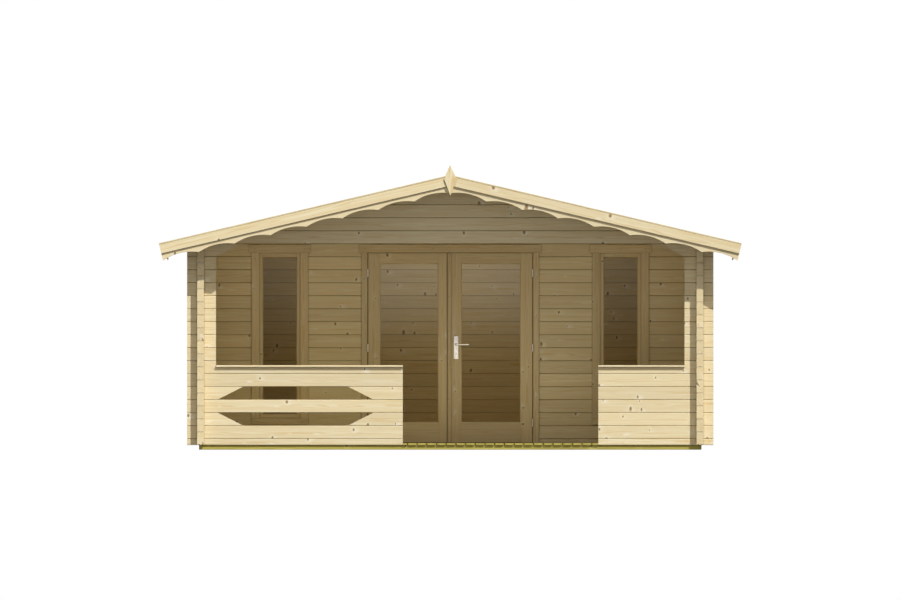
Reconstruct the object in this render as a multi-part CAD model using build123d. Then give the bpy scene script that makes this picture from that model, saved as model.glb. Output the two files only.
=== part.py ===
"""Log cabin with a covered veranda and a glazed double door, in millimetres, z up.

The walls are planed logs that are halved into each other where they cross. Walls that run
from side to side start with a half log, so their seams lie half a log off those of the
side walls. The logs' edges are bevelled on the weather side and flush on the other. The
origin is on the ground under the middle of the cabin's outline box.
"""
import math
import os

from build123d import *

# Logs
log_height = 135
log_thickness = 70
log_end = 105
seam_bevel = 5
end_slant = 268

# Plan and railing
wall_width = 5256
veranda_depth = 1800
room_depth = 3500
railing_courses = 5

# Base frame and floors
bearer_height = 48
bearer_width = 95
bearer_side_setback = 19
bearer_end_setback = 14
joist_width = 70
veranda_joists = 3
room_joists = 6
deck_thickness = 21
floor_thickness = 18
floor_gap = 5

# Front wall, with a railing each side of the way in
pier_reach = 125
left_railing_length = 1940
right_railing_length = 895
cutout_margin = 16
cutout_length = 1621
rail_cap_thickness = 19
rail_cap_overhang = 27

# Roof
roof_pitch = 13.19
side_overhang = 399
front_overhang = 377
rear_overhang = 318
roof_board_thickness = 20
felt_thickness = 3
felt_drip = 8
plate_bevel = 10
purlin_offset = 1124
butt_joint = 1

# Boards that trim the roof
lath_thickness = 16
lath_width = 60
fascia_height = 95
fascia_thickness = 18
scallop_board_height = 170
scallop_board_thickness = 18
scallop_count = 8
scallop_rise = 36
eave_board_height = 154
eave_board_thickness = 16
eave_inset = 46
finial_thickness = 18
finial_above = 103
finial_shoulder = 42
finial_below = 219
finial_half_width = 65

# Double door, hung to open outwards
leaf_pair_width = 1702
leaf_height = 1966
leaf_thickness = 40
hinge_stile_width = 127
meeting_stile_width = 95
lock_stile_width = 148
top_rail_height = 115
bottom_rail_height = 213
meeting_gap = 7
meeting_offset = 31
cover_strip_width = 38
cover_strip_thickness = 12
leaf_lift = 6
leaf_head_gap = 5
leaf_jamb_gap = 9
leaf_stop_gap = 5
jamb_thickness = 40
head_thickness = 30
stop_overlap = 13
stop_height = 15

# Windows, which are fixed
window_offset = 1770
window_glass_width = 343
window_glass_bottom = 376
window_head_rail = 82
window_stile_face = 42
window_rail_face = 50
frame_cover = 20
glass_thickness = 6
glass_groove = 10

# Trim boards round the door and windows
trim_thickness = 18
door_trim_width = 60
window_trim_width = 80
head_trim_height = 85
sill_trim_height = 67
head_trim_overhang = 25

# Hinges
hinge_count = 3
hinge_margin = 205
knuckle_radius = 8
knuckle_height = 40
knuckle_gap = 0.4
pin_radius = 4.5
pin_sides = 12
pin_height = 30
pin_clearance = 0.3
hinge_plate_thickness = 2.5
hinge_plate_depth = 30
hinge_axis_lead = 10

# Lever handle
plate_width = 48
plate_height = 240
plate_thickness = 8
plate_corner = 10
plate_centre_height = 1061
plate_edge_distance = 88
spindle_rise = 31
spindle_radius = 5
spindle_clearance = 2
lever_neck_radius = 9
lever_reach = 36
lever_height = 18
lever_thickness = 12
lever_length = 126
lever_seat_gap = 0.3

# Heights: the side walls have as many courses as it takes for the seats of the top one,
# cut into the wall behind the veranda, to lie clear above the door frame
base_top = bearer_height
deck_top = base_top + deck_thickness
floor_top = base_top + floor_thickness
leaf_bottom = deck_top + leaf_lift
leaf_top = leaf_bottom + leaf_height
head_bottom = leaf_top + leaf_head_gap
lintel = head_bottom + head_thickness
seat_height = log_height / 2
seat_lift = (log_height - seat_height) / 2
side_courses = math.ceil((lintel + seat_lift + seat_height - base_top) / log_height)
side_top = base_top + side_courses * log_height
railing_top = base_top + (railing_courses + 1) * log_height
front_clear_top = side_top - log_height / 2
corbel_bottom = front_clear_top - log_height

# Roof lines: depth below the top line is measured square to the slope
pitch = math.radians(roof_pitch)
wall_half = wall_width / 2
side_middle = wall_half - log_thickness / 2
side_inner = wall_half - log_thickness
log_tip = wall_half + log_end
roof_half = wall_half + side_overhang
felt_top_depth = lath_thickness
board_top_depth = felt_top_depth + felt_thickness
board_under_depth = board_top_depth + roof_board_thickness
under_apex = side_top - plate_bevel + wall_half * math.tan(pitch)
top_apex = under_apex + board_under_depth / math.cos(pitch)
slope_length = roof_half / math.cos(pitch)

# Piers, and the ends of the railings beside the way in
pier_edge = side_inner - pier_reach
left_railing_end = left_railing_length - pier_edge
right_railing_end = pier_edge - right_railing_length

# Depths, from the front of the finial to the back of the rear fascia
front_reach = front_overhang + fascia_thickness + finial_thickness
wall_depth = 3 * log_thickness + veranda_depth + room_depth
front_face = -(front_reach + wall_depth + rear_overhang) / 2 + front_reach
front_middle = front_face + log_thickness / 2
front_back = front_face + log_thickness
door_face = front_back + veranda_depth
door_middle = door_face + log_thickness / 2
door_back = door_face + log_thickness
rear_inner = door_back + room_depth
rear_middle = rear_inner + log_thickness / 2
rear_face = rear_inner + log_thickness
scallop_front = front_face - front_overhang
scallop_back = scallop_front + scallop_board_thickness
fascia_front = scallop_front - fascia_thickness
rear_fascia_back = rear_face + rear_overhang
rear_fascia_inner = rear_fascia_back - fascia_thickness

# Doorway
leaf_front = door_face - trim_thickness
leaf_back = leaf_front + leaf_thickness
stop_front = leaf_back + leaf_stop_gap
leaf_edge = leaf_pair_width / 2
jamb_inner = leaf_edge + leaf_jamb_gap
jamb_outer = jamb_inner + jamb_thickness
stop_edge = leaf_edge - stop_overlap
left_leaf_end = -meeting_offset - meeting_gap / 2
right_leaf_end = -meeting_offset + meeting_gap / 2
hinge_axis_x = leaf_edge + leaf_jamb_gap / 2
hinge_axis_y = leaf_front - hinge_axis_lead

# Window openings
window_glass_top = lintel - window_head_rail
window_half = window_glass_width / 2 + window_stile_face
window_frame_half = window_half + frame_cover
window_bottom = window_glass_bottom - window_rail_face
window_frame_bottom = window_bottom - frame_cover
window_top = window_glass_top + window_rail_face


def block(left, right, front, back, bottom, top):
    """A plain piece between three pairs of planes."""
    middle = Pos((left + right) / 2, (front + back) / 2, (bottom + top) / 2)
    return middle * Box(right - left, back - front, top - bottom)


def upright(points, front, back):
    """A plate with an outline of x, z points, from y = front to y = back."""
    face = Plane.XZ * make_face(Polyline(*points, close=True))
    return extrude(Pos(0, front, 0) * face, amount=back - front, dir=(0, 1, 0))


def flipped(piece):
    """The same piece on the other side of the cabin."""
    return mirror(piece, about=Plane.YZ)


def save(node, *pieces):
    """Write the solids of one node."""
    solids = [solid for piece in pieces for solid in piece.solids()]
    export_step(Compound(solids), f"parts/{node}.step")


def log_section(levels, outward):
    """Section through a stack of logs, with the edges of each bevelled on the outward side."""
    face = outward * log_thickness / 2
    neck = face - outward * seam_bevel
    weather_side = [(neck, levels[0])]
    for low, high in zip(levels, levels[1:]):
        weather_side += [(face, low + seam_bevel), (face, high - seam_bevel), (neck, high)]
    return make_face(Polyline(*weather_side, (-face, levels[-1]), (-face, levels[0]),
                              close=True))


def cross_levels(bottom, top):
    """Faces of a cross wall's logs, half log first, from at or below bottom to over top."""
    levels = [base_top, base_top + log_height / 2]
    while levels[-1] < top:
        levels.append(levels[-1] + log_height)
    while levels[1] <= bottom:
        levels.pop(0)
    return levels


def cross_logs(levels, start, end, middle, outward):
    """Logs that run from side to side."""
    section = Plane.YZ * log_section(levels, outward)
    return extrude(Pos(start, middle, 0) * section, amount=end - start, dir=(1, 0, 0))


def long_logs(levels, start, end, middle):
    """Logs of the right side wall, which run from front to back."""
    section = Plane.XZ * log_section(levels, 1)
    return extrude(Pos(middle, start, 0) * section, amount=end - start, dir=(0, 1, 0))


def side_log_seats(middle):
    """What the side logs take out of a cross wall: the middle half of each log's height."""
    seats = []
    for course in range(side_courses):
        low = base_top + course * log_height + seat_lift
        high = low + seat_height
        for side in (-1, 1):
            seat = Box(log_thickness, log_thickness, seat_height)
            seats.append(Pos(side * side_middle, middle, (low + high) / 2) * seat)
    return seats


def cross_log_seats(middle_x):
    """What the three cross walls take out of a side wall, half-way between the others."""
    seats = []
    for course in range(side_courses + 1):
        seam = base_top + course * log_height
        for middle_y in (front_middle, door_middle, rear_middle):
            seat = Box(log_thickness, log_thickness, log_height - seat_height)
            seats.append(Pos(middle_x, middle_y, seam) * seat)
    return seats


def cross_wall(points, middle, outward=-1):
    """A cross wall with an outline of x, z points, notched for the side logs."""
    across = [x for x, z in points]
    up = [z for x, z in points]
    levels = cross_levels(min(up), max(up))
    logs = cross_logs(levels, min(across), max(across), middle, outward)
    outline = upright(points, middle - log_thickness, middle + log_thickness)
    return (logs & outline) - side_log_seats(middle)


def rectangle(left, right, bottom, top):
    """Four corners, as x, z points."""
    return [(left, bottom), (right, bottom), (right, top), (left, top)]


def under_roof(x):
    """Height of the underside of the roof boards."""
    return under_apex - abs(x) * math.tan(pitch)


def gable_outline(bottom):
    """A cross wall's outline from bottom up to the roof boards, log ends included."""
    eave = under_roof(log_tip)
    return [(-log_tip, bottom), (log_tip, bottom), (log_tip, eave), (0, under_apex),
            (-log_tip, eave)]


def slope_point(along, depth):
    """A point on the right slope: along it from the ridge, and square below its top line."""
    x = along * math.cos(pitch) - depth * math.sin(pitch)
    z = top_apex - along * math.sin(pitch) - depth * math.cos(pitch)
    return x, z


def ridge_point(x, depth):
    """A point near the ridge at a given x, square below the slope's top line."""
    return x, top_apex - x * math.tan(pitch) - depth / math.cos(pitch)


def slope_board(top, bottom, length, start, front, back):
    """A board or sheet on the right slope, cut upright at the ridge and square at the eave."""
    points = [ridge_point(start, top), slope_point(length, top), slope_point(length, bottom),
              ridge_point(start, bottom)]
    return upright(points, front, back)


def base_frame():
    """Bearers under the walls and joists between them."""
    half = wall_half - bearer_side_setback
    front = front_face + bearer_end_setback
    middle = door_middle - bearer_width / 2
    rear = rear_face - bearer_end_setback - bearer_width
    cross = [block(-half, half, start, start + bearer_width, 0, base_top)
             for start in (front, middle, rear)]
    bays = [(front + bearer_width, middle, veranda_joists),
            (middle + bearer_width, rear, room_joists)]
    sides = []
    joists = []
    inner = half - bearer_width
    for start, end, count in bays:
        sides.append(block(inner, half, start, end, 0, base_top))
        sides.append(block(-half, -inner, start, end, 0, base_top))
        spacing = (end - start) / (count + 1)
        for number in range(1, count + 1):
            centre = start + number * spacing
            edges = (centre - joist_width / 2, centre + joist_width / 2)
            joists.append(block(-inner, inner, *edges, 0, base_top))
    save("cross_bearers", *cross)
    save("side_bearers", *sides)
    save("floor_joists", *joists)


def floors():
    """The deck runs out between the railings, and the room floor lies behind the doors."""
    edge = side_inner - floor_gap
    deck = block(-edge, edge, front_back + floor_gap, door_face - floor_gap, base_top, deck_top)
    way_in = block(left_railing_end + floor_gap, right_railing_end - floor_gap, front_face,
                   front_back + floor_gap, base_top, deck_top)
    floor = block(-edge, edge, door_back + floor_gap, rear_inner - floor_gap, base_top,
                  floor_top)
    save("veranda_deck", deck + way_in)
    save("room_floor", floor)


def side_walls():
    """Both side walls, and over each a wall plate that runs on under the roof."""
    plate_bottom = side_top - log_height
    levels = [base_top + course * log_height for course in range(side_courses)]
    wall = long_logs(levels, front_face - log_end, rear_face + log_end, side_middle)
    wall -= cross_log_seats(side_middle)
    plate = long_logs([plate_bottom, side_top], scallop_back, rear_fascia_inner, side_middle)
    below_roof = [(0, 0), (log_tip, 0), (log_tip, under_roof(log_tip)), (0, under_apex)]
    plate &= upright(below_roof, scallop_back, rear_fascia_inner)
    plate -= cross_log_seats(side_middle)
    save("right_side_wall", wall)
    save("left_side_wall", flipped(wall))
    save("wall_plates", plate, flipped(plate))


def purlins():
    """Ridge purlin and one purlin on each slope, planed to the roof boards on top."""
    below_roof = [(-roof_half, 0), (roof_half, 0), (roof_half, under_roof(roof_half)),
                  (0, under_apex), (-roof_half, under_roof(roof_half))]
    limits = upright(below_roof, scallop_back, rear_fascia_inner)
    made = []
    for x in (0, purlin_offset, -purlin_offset):
        low = under_roof(x) - log_height
        log = block(x - log_thickness / 2, x + log_thickness / 2, scallop_back,
                    rear_fascia_inner, low, low + 2 * log_height)
        made.append(log & limits)
    return made


def front_wall():
    """Railings, piers and corbels below the front gable."""
    bottoms = [base_top] + [base_top + log_height / 2 + course * log_height
                            for course in range(railing_courses + 1)]
    left = (-log_tip, left_railing_end)
    rails = [cross_wall(rectangle(*left, bottoms[0], bottoms[2]), front_middle),
             cross_wall(rectangle(*left, bottoms[3], bottoms[4]), front_middle),
             cross_wall(rectangle(*left, bottoms[5], railing_top), front_middle)]
    rails.append(cross_wall(rectangle(right_railing_end, log_tip, base_top, railing_top),
                            front_middle))
    near = cutout_margin - pier_edge
    far = near + cutout_length
    blocks = []
    for course, wide_low in ((2, 0), (4, 1)):
        low, high = bottoms[course], bottoms[course + 1]
        inset_low = 0 if wide_low else end_slant
        inset_high = end_slant - inset_low
        outer = [(-log_tip, low), (near + inset_low, low), (near + inset_high, high),
                 (-log_tip, high)]
        inner = [(far - inset_low, low), (left_railing_end, low), (left_railing_end, high),
                 (far - inset_high, high)]
        blocks += [cross_wall(outer, front_middle), cross_wall(inner, front_middle)]
    pier = cross_wall(rectangle(pier_edge, log_tip, railing_top, corbel_bottom), front_middle)
    corbel_points = [(pier_edge, corbel_bottom), (log_tip, corbel_bottom),
                     (log_tip, front_clear_top), (pier_edge - end_slant, front_clear_top)]
    corbel = cross_wall(corbel_points, front_middle)
    cap_front = front_face - rail_cap_overhang
    cap_back = front_back + rail_cap_overhang
    cap_top = railing_top + rail_cap_thickness
    caps = [block(-pier_edge, left_railing_end, cap_front, cap_back, railing_top, cap_top),
            block(right_railing_end, pier_edge, cap_front, cap_back, railing_top, cap_top)]
    save("railing_logs", *rails)
    save("left_railing_blocks", *blocks)
    save("front_piers", pier, flipped(pier))
    save("front_corbels", corbel, flipped(corbel))
    save("railing_caps", *caps)


def door_wall(roof_logs):
    """The wall behind the veranda, in pieces round the doorway and the two windows."""
    window_left = window_offset - window_frame_half
    window_right = window_offset + window_frame_half
    end = cross_wall(rectangle(window_right, log_tip, base_top, lintel), door_middle)
    below = cross_wall(rectangle(window_left, window_right, base_top, window_frame_bottom),
                       door_middle)
    pier = cross_wall(rectangle(jamb_outer, window_left, base_top, lintel), door_middle)
    over = cross_wall(gable_outline(lintel), door_middle) - roof_logs
    save("door_wall_ends", end, flipped(end))
    save("door_wall_below_windows", below, flipped(below))
    save("door_wall_piers", pier, flipped(pier))
    save("door_wall_gable", over)


def roof():
    """Boards and felt on each slope, and the trim boards round them."""
    board = slope_board(board_top_depth, board_under_depth, slope_length - eave_inset, 0,
                        scallop_back, rear_fascia_inner)
    felt = slope_board(felt_top_depth, board_top_depth, slope_length - eave_inset + felt_drip,
                       0, scallop_back, rear_fascia_inner)
    eave_start = slope_length - eave_inset - eave_board_thickness
    eave_points = [slope_point(eave_start, board_under_depth),
                   slope_point(eave_start + eave_board_thickness, board_under_depth),
                   slope_point(eave_start + eave_board_thickness,
                               board_under_depth + eave_board_height),
                   slope_point(eave_start, board_under_depth + eave_board_height)]
    eave = upright(eave_points, scallop_back, rear_fascia_inner)
    start = butt_joint / 2
    fascia_bottom = lath_thickness + fascia_height
    fascias = [slope_board(lath_thickness, fascia_bottom, slope_length, start, fascia_front,
                           scallop_front),
               slope_board(lath_thickness, fascia_bottom, slope_length, start,
                           rear_fascia_inner, rear_fascia_back)]
    laths = [slope_board(0, lath_thickness, slope_length, start, fascia_front,
                         fascia_front + lath_width),
             slope_board(0, lath_thickness, slope_length, start,
                         rear_fascia_back - lath_width, rear_fascia_back)]
    scalloped = scalloped_board(start)
    save("right_roof_boards", board)
    save("left_roof_boards", flipped(board))
    save("right_roof_felt", felt)
    save("left_roof_felt", flipped(felt))
    save("eave_boards", eave, flipped(eave))
    save("fascia_boards", *fascias, *[flipped(piece) for piece in fascias])
    save("cap_laths", *laths, *[flipped(piece) for piece in laths])
    save("scalloped_boards", scalloped, flipped(scalloped))


def scalloped_board(start):
    """Board behind the front fascia, with hollow arcs between points along its lower edge."""
    low = lath_thickness + scallop_board_height
    first = Vector(*ridge_point(start, low))
    last = Vector(*slope_point(slope_length, low))
    step = (last - first) / scallop_count
    rise = Vector(math.sin(pitch), math.cos(pitch)) * scallop_rise
    edge = []
    for number in range(scallop_count):
        point = first + step * number
        edge.append(ThreePointArc(point, point + step / 2 + rise, point + step))
    top = Polyline(last, slope_point(slope_length, lath_thickness),
                   ridge_point(start, lath_thickness), first)
    face = Plane.XZ * make_face([*edge, top])
    return extrude(Pos(0, scallop_front, 0) * face, amount=scallop_board_thickness,
                   dir=(0, 1, 0))


def finial():
    """Kite-shaped board over the joint of the front fascias."""
    points = [(0, top_apex + finial_above), (finial_half_width, top_apex - finial_shoulder),
              (0, top_apex - finial_below), (-finial_half_width, top_apex - finial_shoulder)]
    return upright(points, fascia_front - finial_thickness, fascia_front)


def door_frame():
    """Jambs, head and threshold, each with the stop that the leaves close against."""
    jamb = block(jamb_inner, jamb_outer, door_face, door_back, base_top, lintel)
    jamb += block(stop_edge, jamb_inner, stop_front, door_back, base_top, lintel)
    head = block(-stop_edge, stop_edge, stop_front, door_back, leaf_top - stop_overlap,
                 head_bottom)
    head += block(-jamb_inner, jamb_inner, door_face, stop_front, head_bottom, lintel)
    head += block(-stop_edge, stop_edge, stop_front, door_back, head_bottom, lintel)
    sill = block(-jamb_inner, jamb_inner, door_face, stop_front, base_top, deck_top)
    sill += block(-stop_edge, stop_edge, stop_front, door_back, base_top,
                  deck_top + stop_height)
    save("door_jambs", jamb, flipped(jamb))
    save("door_head_and_threshold", head, sill)


def trims():
    """Boards that cover the joints between the frames and the logs."""
    front = door_face - trim_thickness
    door_outer = jamb_inner + door_trim_width
    door_side = block(jamb_inner, door_outer, front, door_face, base_top + deck_thickness,
                      head_bottom)
    door_head = block(-door_outer - head_trim_overhang, door_outer + head_trim_overhang, front,
                      door_face, head_bottom, head_bottom + head_trim_height)
    inner = window_offset - window_half
    outer = window_offset + window_half
    sides = [block(inner - window_trim_width, inner, front, door_face, window_bottom,
                   window_top),
             block(outer, outer + window_trim_width, front, door_face, window_bottom,
                   window_top)]
    reach = window_half + window_trim_width
    head = block(window_offset - reach - head_trim_overhang,
                 window_offset + reach + head_trim_overhang, front, door_face, window_top,
                 window_top + head_trim_height)
    sill = block(window_offset - reach, window_offset + reach, front, door_face,
                 window_bottom - sill_trim_height, window_bottom)
    save("side_trims", door_side, flipped(door_side), *sides,
         *[flipped(piece) for piece in sides])
    save("head_and_sill_trims", door_head, head, sill, flipped(head), flipped(sill))


def glass_pane(left, right, bottom, top, middle):
    """A pane with its edges in grooves in the frame round it."""
    return block(left - glass_groove, right + glass_groove, middle - glass_thickness / 2,
                 middle + glass_thickness / 2, bottom - glass_groove, top + glass_groove)


def windows():
    """Two fixed windows, each a frame and a pane."""
    half = window_glass_width / 2
    left = window_offset - half
    right = window_offset + half
    pane = glass_pane(left, right, window_glass_bottom, window_glass_top, door_middle)
    span = (door_face, door_back)
    stiles = [block(window_offset - window_frame_half, left, *span, window_frame_bottom,
                    lintel) - pane,
              block(right, window_offset + window_frame_half, *span, window_frame_bottom,
                    lintel) - pane]
    rails = [block(left, right, *span, window_frame_bottom, window_glass_bottom) - pane,
             block(left, right, *span, window_glass_top, lintel) - pane]
    save("window_stiles", *stiles, *[flipped(piece) for piece in stiles])
    save("window_rails", *rails, *[flipped(piece) for piece in rails])
    save("window_glass", pane, flipped(pane))


def hinge_heights():
    """Where the two halves of each hinge meet."""
    low = leaf_bottom + hinge_margin
    step = (leaf_height - 2 * hinge_margin) / (hinge_count - 1)
    return [low + number * step for number in range(hinge_count)]


def upright_pin(radius, height):
    """A hinge pin or its bore, with flats, because neither shows."""
    return extrude(RegularPolygon(radius, pin_sides), amount=height)


def hinge_halves():
    """Right-hand hinges: the frame's half carries a pin, and the leaf's half sits over it."""
    frame_halves = []
    leaf_halves = []
    for height in hinge_heights():
        low = height - knuckle_height
        knuckle = Pos(hinge_axis_x, hinge_axis_y, low + knuckle_height / 2)
        pin_foot = Pos(hinge_axis_x, hinge_axis_y, height)
        frame_half = knuckle * Cylinder(knuckle_radius, knuckle_height)
        frame_half += pin_foot * upright_pin(pin_radius, pin_height)
        frame_half += block(jamb_inner - hinge_plate_thickness, jamb_inner, hinge_axis_y,
                            leaf_front + hinge_plate_depth, low, height)
        frame_halves.append(frame_half)
        start = height + knuckle_gap
        upper = Pos(hinge_axis_x, hinge_axis_y, start + knuckle_height / 2)
        leaf_half = upper * Cylinder(knuckle_radius, knuckle_height)
        leaf_half += block(leaf_edge, leaf_edge + hinge_plate_thickness, hinge_axis_y,
                           leaf_front + hinge_plate_depth, start, start + knuckle_height)
        leaf_half -= pin_foot * upright_pin(pin_radius + pin_clearance,
                                            pin_height + pin_clearance)
        leaf_halves.append(leaf_half)
    return frame_halves, leaf_halves


def door_leaf(left, right, left_stile, right_stile):
    """Stiles, rails and pane of one leaf."""
    middle = (leaf_front + leaf_back) / 2
    span = (leaf_front, leaf_back)
    glass_left = left + left_stile
    glass_right = right - right_stile
    glass_bottom = leaf_bottom + bottom_rail_height
    glass_top = leaf_top - top_rail_height
    pane = glass_pane(glass_left, glass_right, glass_bottom, glass_top, middle)
    stiles = [block(left, glass_left, *span, leaf_bottom, leaf_top) - pane,
              block(glass_right, right, *span, leaf_bottom, leaf_top) - pane]
    rails = [block(glass_left, glass_right, *span, leaf_bottom, glass_bottom) - pane,
             block(glass_left, glass_right, *span, glass_top, leaf_top) - pane]
    return stiles, rails, pane


def handle():
    """Plates, and a flat lever on a round neck each side of the lock stile."""
    x = right_leaf_end + plate_edge_distance
    z = plate_centre_height + spindle_rise
    spindle_hole = Pos(x, (leaf_front + leaf_back) / 2, z) * Rot(90, 0, 0)
    length = leaf_thickness + 2 * plate_thickness
    hole = spindle_hole * Cylinder(spindle_radius + spindle_clearance, 2 * length)
    outline = RectangleRounded(plate_width, plate_height, plate_corner)
    face = Plane.XZ * outline
    centre = Pos(x, leaf_front, plate_centre_height)
    outside = extrude(centre * face, amount=plate_thickness, dir=(0, -1, 0)) - hole
    centre = Pos(x, leaf_back, plate_centre_height)
    inside = extrude(centre * face, amount=plate_thickness, dir=(0, 1, 0)) - hole
    seat = length / 2 + lever_seat_gap
    lever = spindle_hole * Cylinder(spindle_radius, 2 * seat)
    grip = Plane.XZ * SlotCenterToCenter(lever_length, lever_height)
    for side in (-1, 1):
        start = (leaf_front + leaf_back) / 2 + side * seat
        end = start + side * lever_reach
        neck = Pos(x, (start + end) / 2, z) * Rot(90, 0, 0)
        lever += neck * Cylinder(lever_neck_radius, lever_reach)
        lever += extrude(Pos(x + lever_length / 2, end, z) * grip, amount=lever_thickness,
                         dir=(0, side, 0))
    save("handle_plates", outside, inside)
    save("lever_handle", lever)
    return hole


def doors():
    """Both leaves with their hinges, and the strip that covers the joint between them."""
    frame_halves, leaf_halves = hinge_halves()
    stiles, rails, pane = door_leaf(-leaf_edge, left_leaf_end, hinge_stile_width,
                                    meeting_stile_width)
    save("left_door_stiles", *stiles)
    save("left_door_rails", *rails)
    save("left_door_glass", pane)
    save("left_door_hinges", *[flipped(piece) for piece in leaf_halves])
    stiles, rails, pane = door_leaf(right_leaf_end, leaf_edge, lock_stile_width,
                                    hinge_stile_width)
    hole = handle()
    save("right_door_stiles", stiles[0] - hole, stiles[1])
    save("right_door_rails", *rails)
    save("right_door_glass", pane)
    save("right_door_hinges", *leaf_halves)
    strip = block(right_leaf_end, right_leaf_end + cover_strip_width,
                  leaf_front - cover_strip_thickness, leaf_front, leaf_bottom, leaf_top)
    save("cover_strip", strip)
    save("frame_hinges", *frame_halves, *[flipped(piece) for piece in frame_halves])


os.makedirs("parts", exist_ok=True)
base_frame()
floors()
side_walls()
roof_logs = purlins()
save("ridge_purlin", roof_logs[0])
save("side_purlins", *roof_logs[1:])
front_wall()
save("front_gable", cross_wall(gable_outline(front_clear_top), front_middle) - roof_logs)
door_wall(roof_logs)
save("rear_wall", cross_wall(gable_outline(base_top), rear_middle, outward=1) - roof_logs)
roof()
save("finial", finial())
door_frame()
trims()
windows()
doors()
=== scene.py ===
"""The log cabin's looks: its timber, felt, glass and metal, piece by piece as it is built."""
import math

import bmesh
import bpy
import numpy as np
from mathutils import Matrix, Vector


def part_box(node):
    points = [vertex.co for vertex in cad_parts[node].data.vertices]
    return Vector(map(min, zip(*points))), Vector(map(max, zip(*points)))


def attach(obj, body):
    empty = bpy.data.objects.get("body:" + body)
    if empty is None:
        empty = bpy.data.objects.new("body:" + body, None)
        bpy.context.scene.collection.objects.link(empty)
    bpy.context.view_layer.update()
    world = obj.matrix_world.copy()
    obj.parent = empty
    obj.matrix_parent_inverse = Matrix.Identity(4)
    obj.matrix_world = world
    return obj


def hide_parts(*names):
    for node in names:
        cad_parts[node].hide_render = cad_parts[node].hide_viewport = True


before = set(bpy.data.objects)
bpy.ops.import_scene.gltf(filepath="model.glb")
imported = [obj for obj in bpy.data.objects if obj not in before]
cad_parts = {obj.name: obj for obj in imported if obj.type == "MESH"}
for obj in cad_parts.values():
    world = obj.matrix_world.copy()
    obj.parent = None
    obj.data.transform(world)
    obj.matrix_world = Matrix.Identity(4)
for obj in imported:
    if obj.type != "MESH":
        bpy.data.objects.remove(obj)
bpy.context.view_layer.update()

# The view. The picture is a straight front elevation with no perspective, taken level, so
# its scale and the ground line fix the camera. It is drawn on plain white.
picture_width = 900
picture_height = 600
metres_per_pixel = 0.010385
middle_pixel = 450.25
ground_pixel = 449.7
camera_distance = 20


def new_object(name, data):
    """Puts an object with the given data into the scene."""
    made = bpy.data.objects.new(name, data)
    bpy.context.scene.collection.objects.link(made)
    return made


camera = new_object("camera", bpy.data.cameras.new("camera"))
camera.data.type = "ORTHO"
camera.data.ortho_scale = picture_width * metres_per_pixel
camera.location = ((picture_width / 2 - middle_pixel) * metres_per_pixel, -camera_distance,
                   (ground_pixel - picture_height / 2) * metres_per_pixel)
camera.rotation_euler = (math.radians(90), 0, 0)
bpy.context.scene.camera = camera
bpy.context.scene.view_settings.view_transform = "Standard"

# The light. A high sun stands to the right of the front, with crisp shadows. Soft light comes
# from all round: more from above, and most from a broad patch ahead of the front and a little
# below it, where sunlit ground would be. The floor is plain and pale.
sun_travel = (-0.657, 1.0, -1.387)
sun_power = 3.45
sun_width = 0.6
sky_light = 0.5
ground_light = 0.04
ground_below = -0.3
sky_above = 0.5
front_light = 2.7
front_dip = 9
front_spread = 36
soft_colour = (1.0, 0.985, 0.95, 1.0)
floor_reach = 200


def linear(code):
    """Linear colour of an sRGB hex value: each channel c becomes c / 12.92 where it is small,
    and otherwise ((c + 0.055) / 1.055) to the power 2.4."""
    channels = np.array([int(code[at:at + 2], 16) for at in (0, 2, 4)]) / 255
    bright = ((channels + 0.055) / 1.055) ** 2.4
    return (*np.where(channels <= 0.04045, channels / 12.92, bright), 1.0)


def add(tree, kind, *inputs, **settings):
    """Adds one node. Kind may end with its operation, and settings are its own values. What
    each socket holds comes in order, or as one dictionary by name or number: a number or
    colour, an output, or a node for its first output."""
    kind, _, operation = kind.partition(" ")
    made = tree.nodes.new("ShaderNode" + kind)
    if operation:
        made.operation = operation
    for name, value in settings.items():
        setattr(made, name, value)
    by_name = inputs and isinstance(inputs[0], dict)
    for key, value in inputs[0].items() if by_name else enumerate(inputs):
        if isinstance(value, bpy.types.Node):
            value = value.outputs[0]
        if isinstance(value, bpy.types.NodeSocket):
            tree.links.new(value, made.inputs[key])
        else:
            made.inputs[key].default_value = value
    return made


def new_finish(name, colour, roughness, metallic=0.0):
    """A material, its node tree and its surface shader, with one plain colour to start from."""
    material = bpy.data.materials.new(name)
    material.use_nodes = True
    surface = material.node_tree.nodes["Principled BSDF"]
    surface.inputs["Base Color"].default_value = linear(colour)
    surface.inputs["Roughness"].default_value = roughness
    surface.inputs["Metallic"].default_value = metallic
    return material, material.node_tree, surface


sun = new_object("sun", bpy.data.lights.new("sun", "SUN"))
sun.data.energy = sun_power
sun.data.angle = math.radians(sun_width)
sun.rotation_mode = "QUATERNION"
sun.rotation_quaternion = Vector(sun_travel).to_track_quat("-Z", "Y")

world = bpy.data.worlds.new("studio")
bpy.context.scene.world = world
world.use_nodes = True
sky = world.node_tree
sky.nodes.clear()
outward = add(sky, "TexCoord").outputs["Generated"]
direction = add(sky, "SeparateXYZ", outward)
level = add(sky, "MapRange", direction.outputs["Z"], ground_below, sky_above, ground_light,
            sky_light)
dip = math.radians(front_dip)
ahead = add(sky, "VectorMath DOT_PRODUCT", outward, (0, -math.cos(dip), -math.sin(dip)))
ahead = add(sky, "Math MAXIMUM", ahead.outputs["Value"], 0)
ahead = add(sky, "Math POWER", ahead, front_spread)
level = add(sky, "Math MULTIPLY_ADD", ahead, front_light, level)
soft = add(sky, "Background", soft_colour, level)
white = add(sky, "Background", (1, 1, 1, 1), 1)
seen = add(sky, "LightPath").outputs["Is Camera Ray"]
add(sky, "OutputWorld", add(sky, "MixShader", seen, soft, white))

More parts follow.
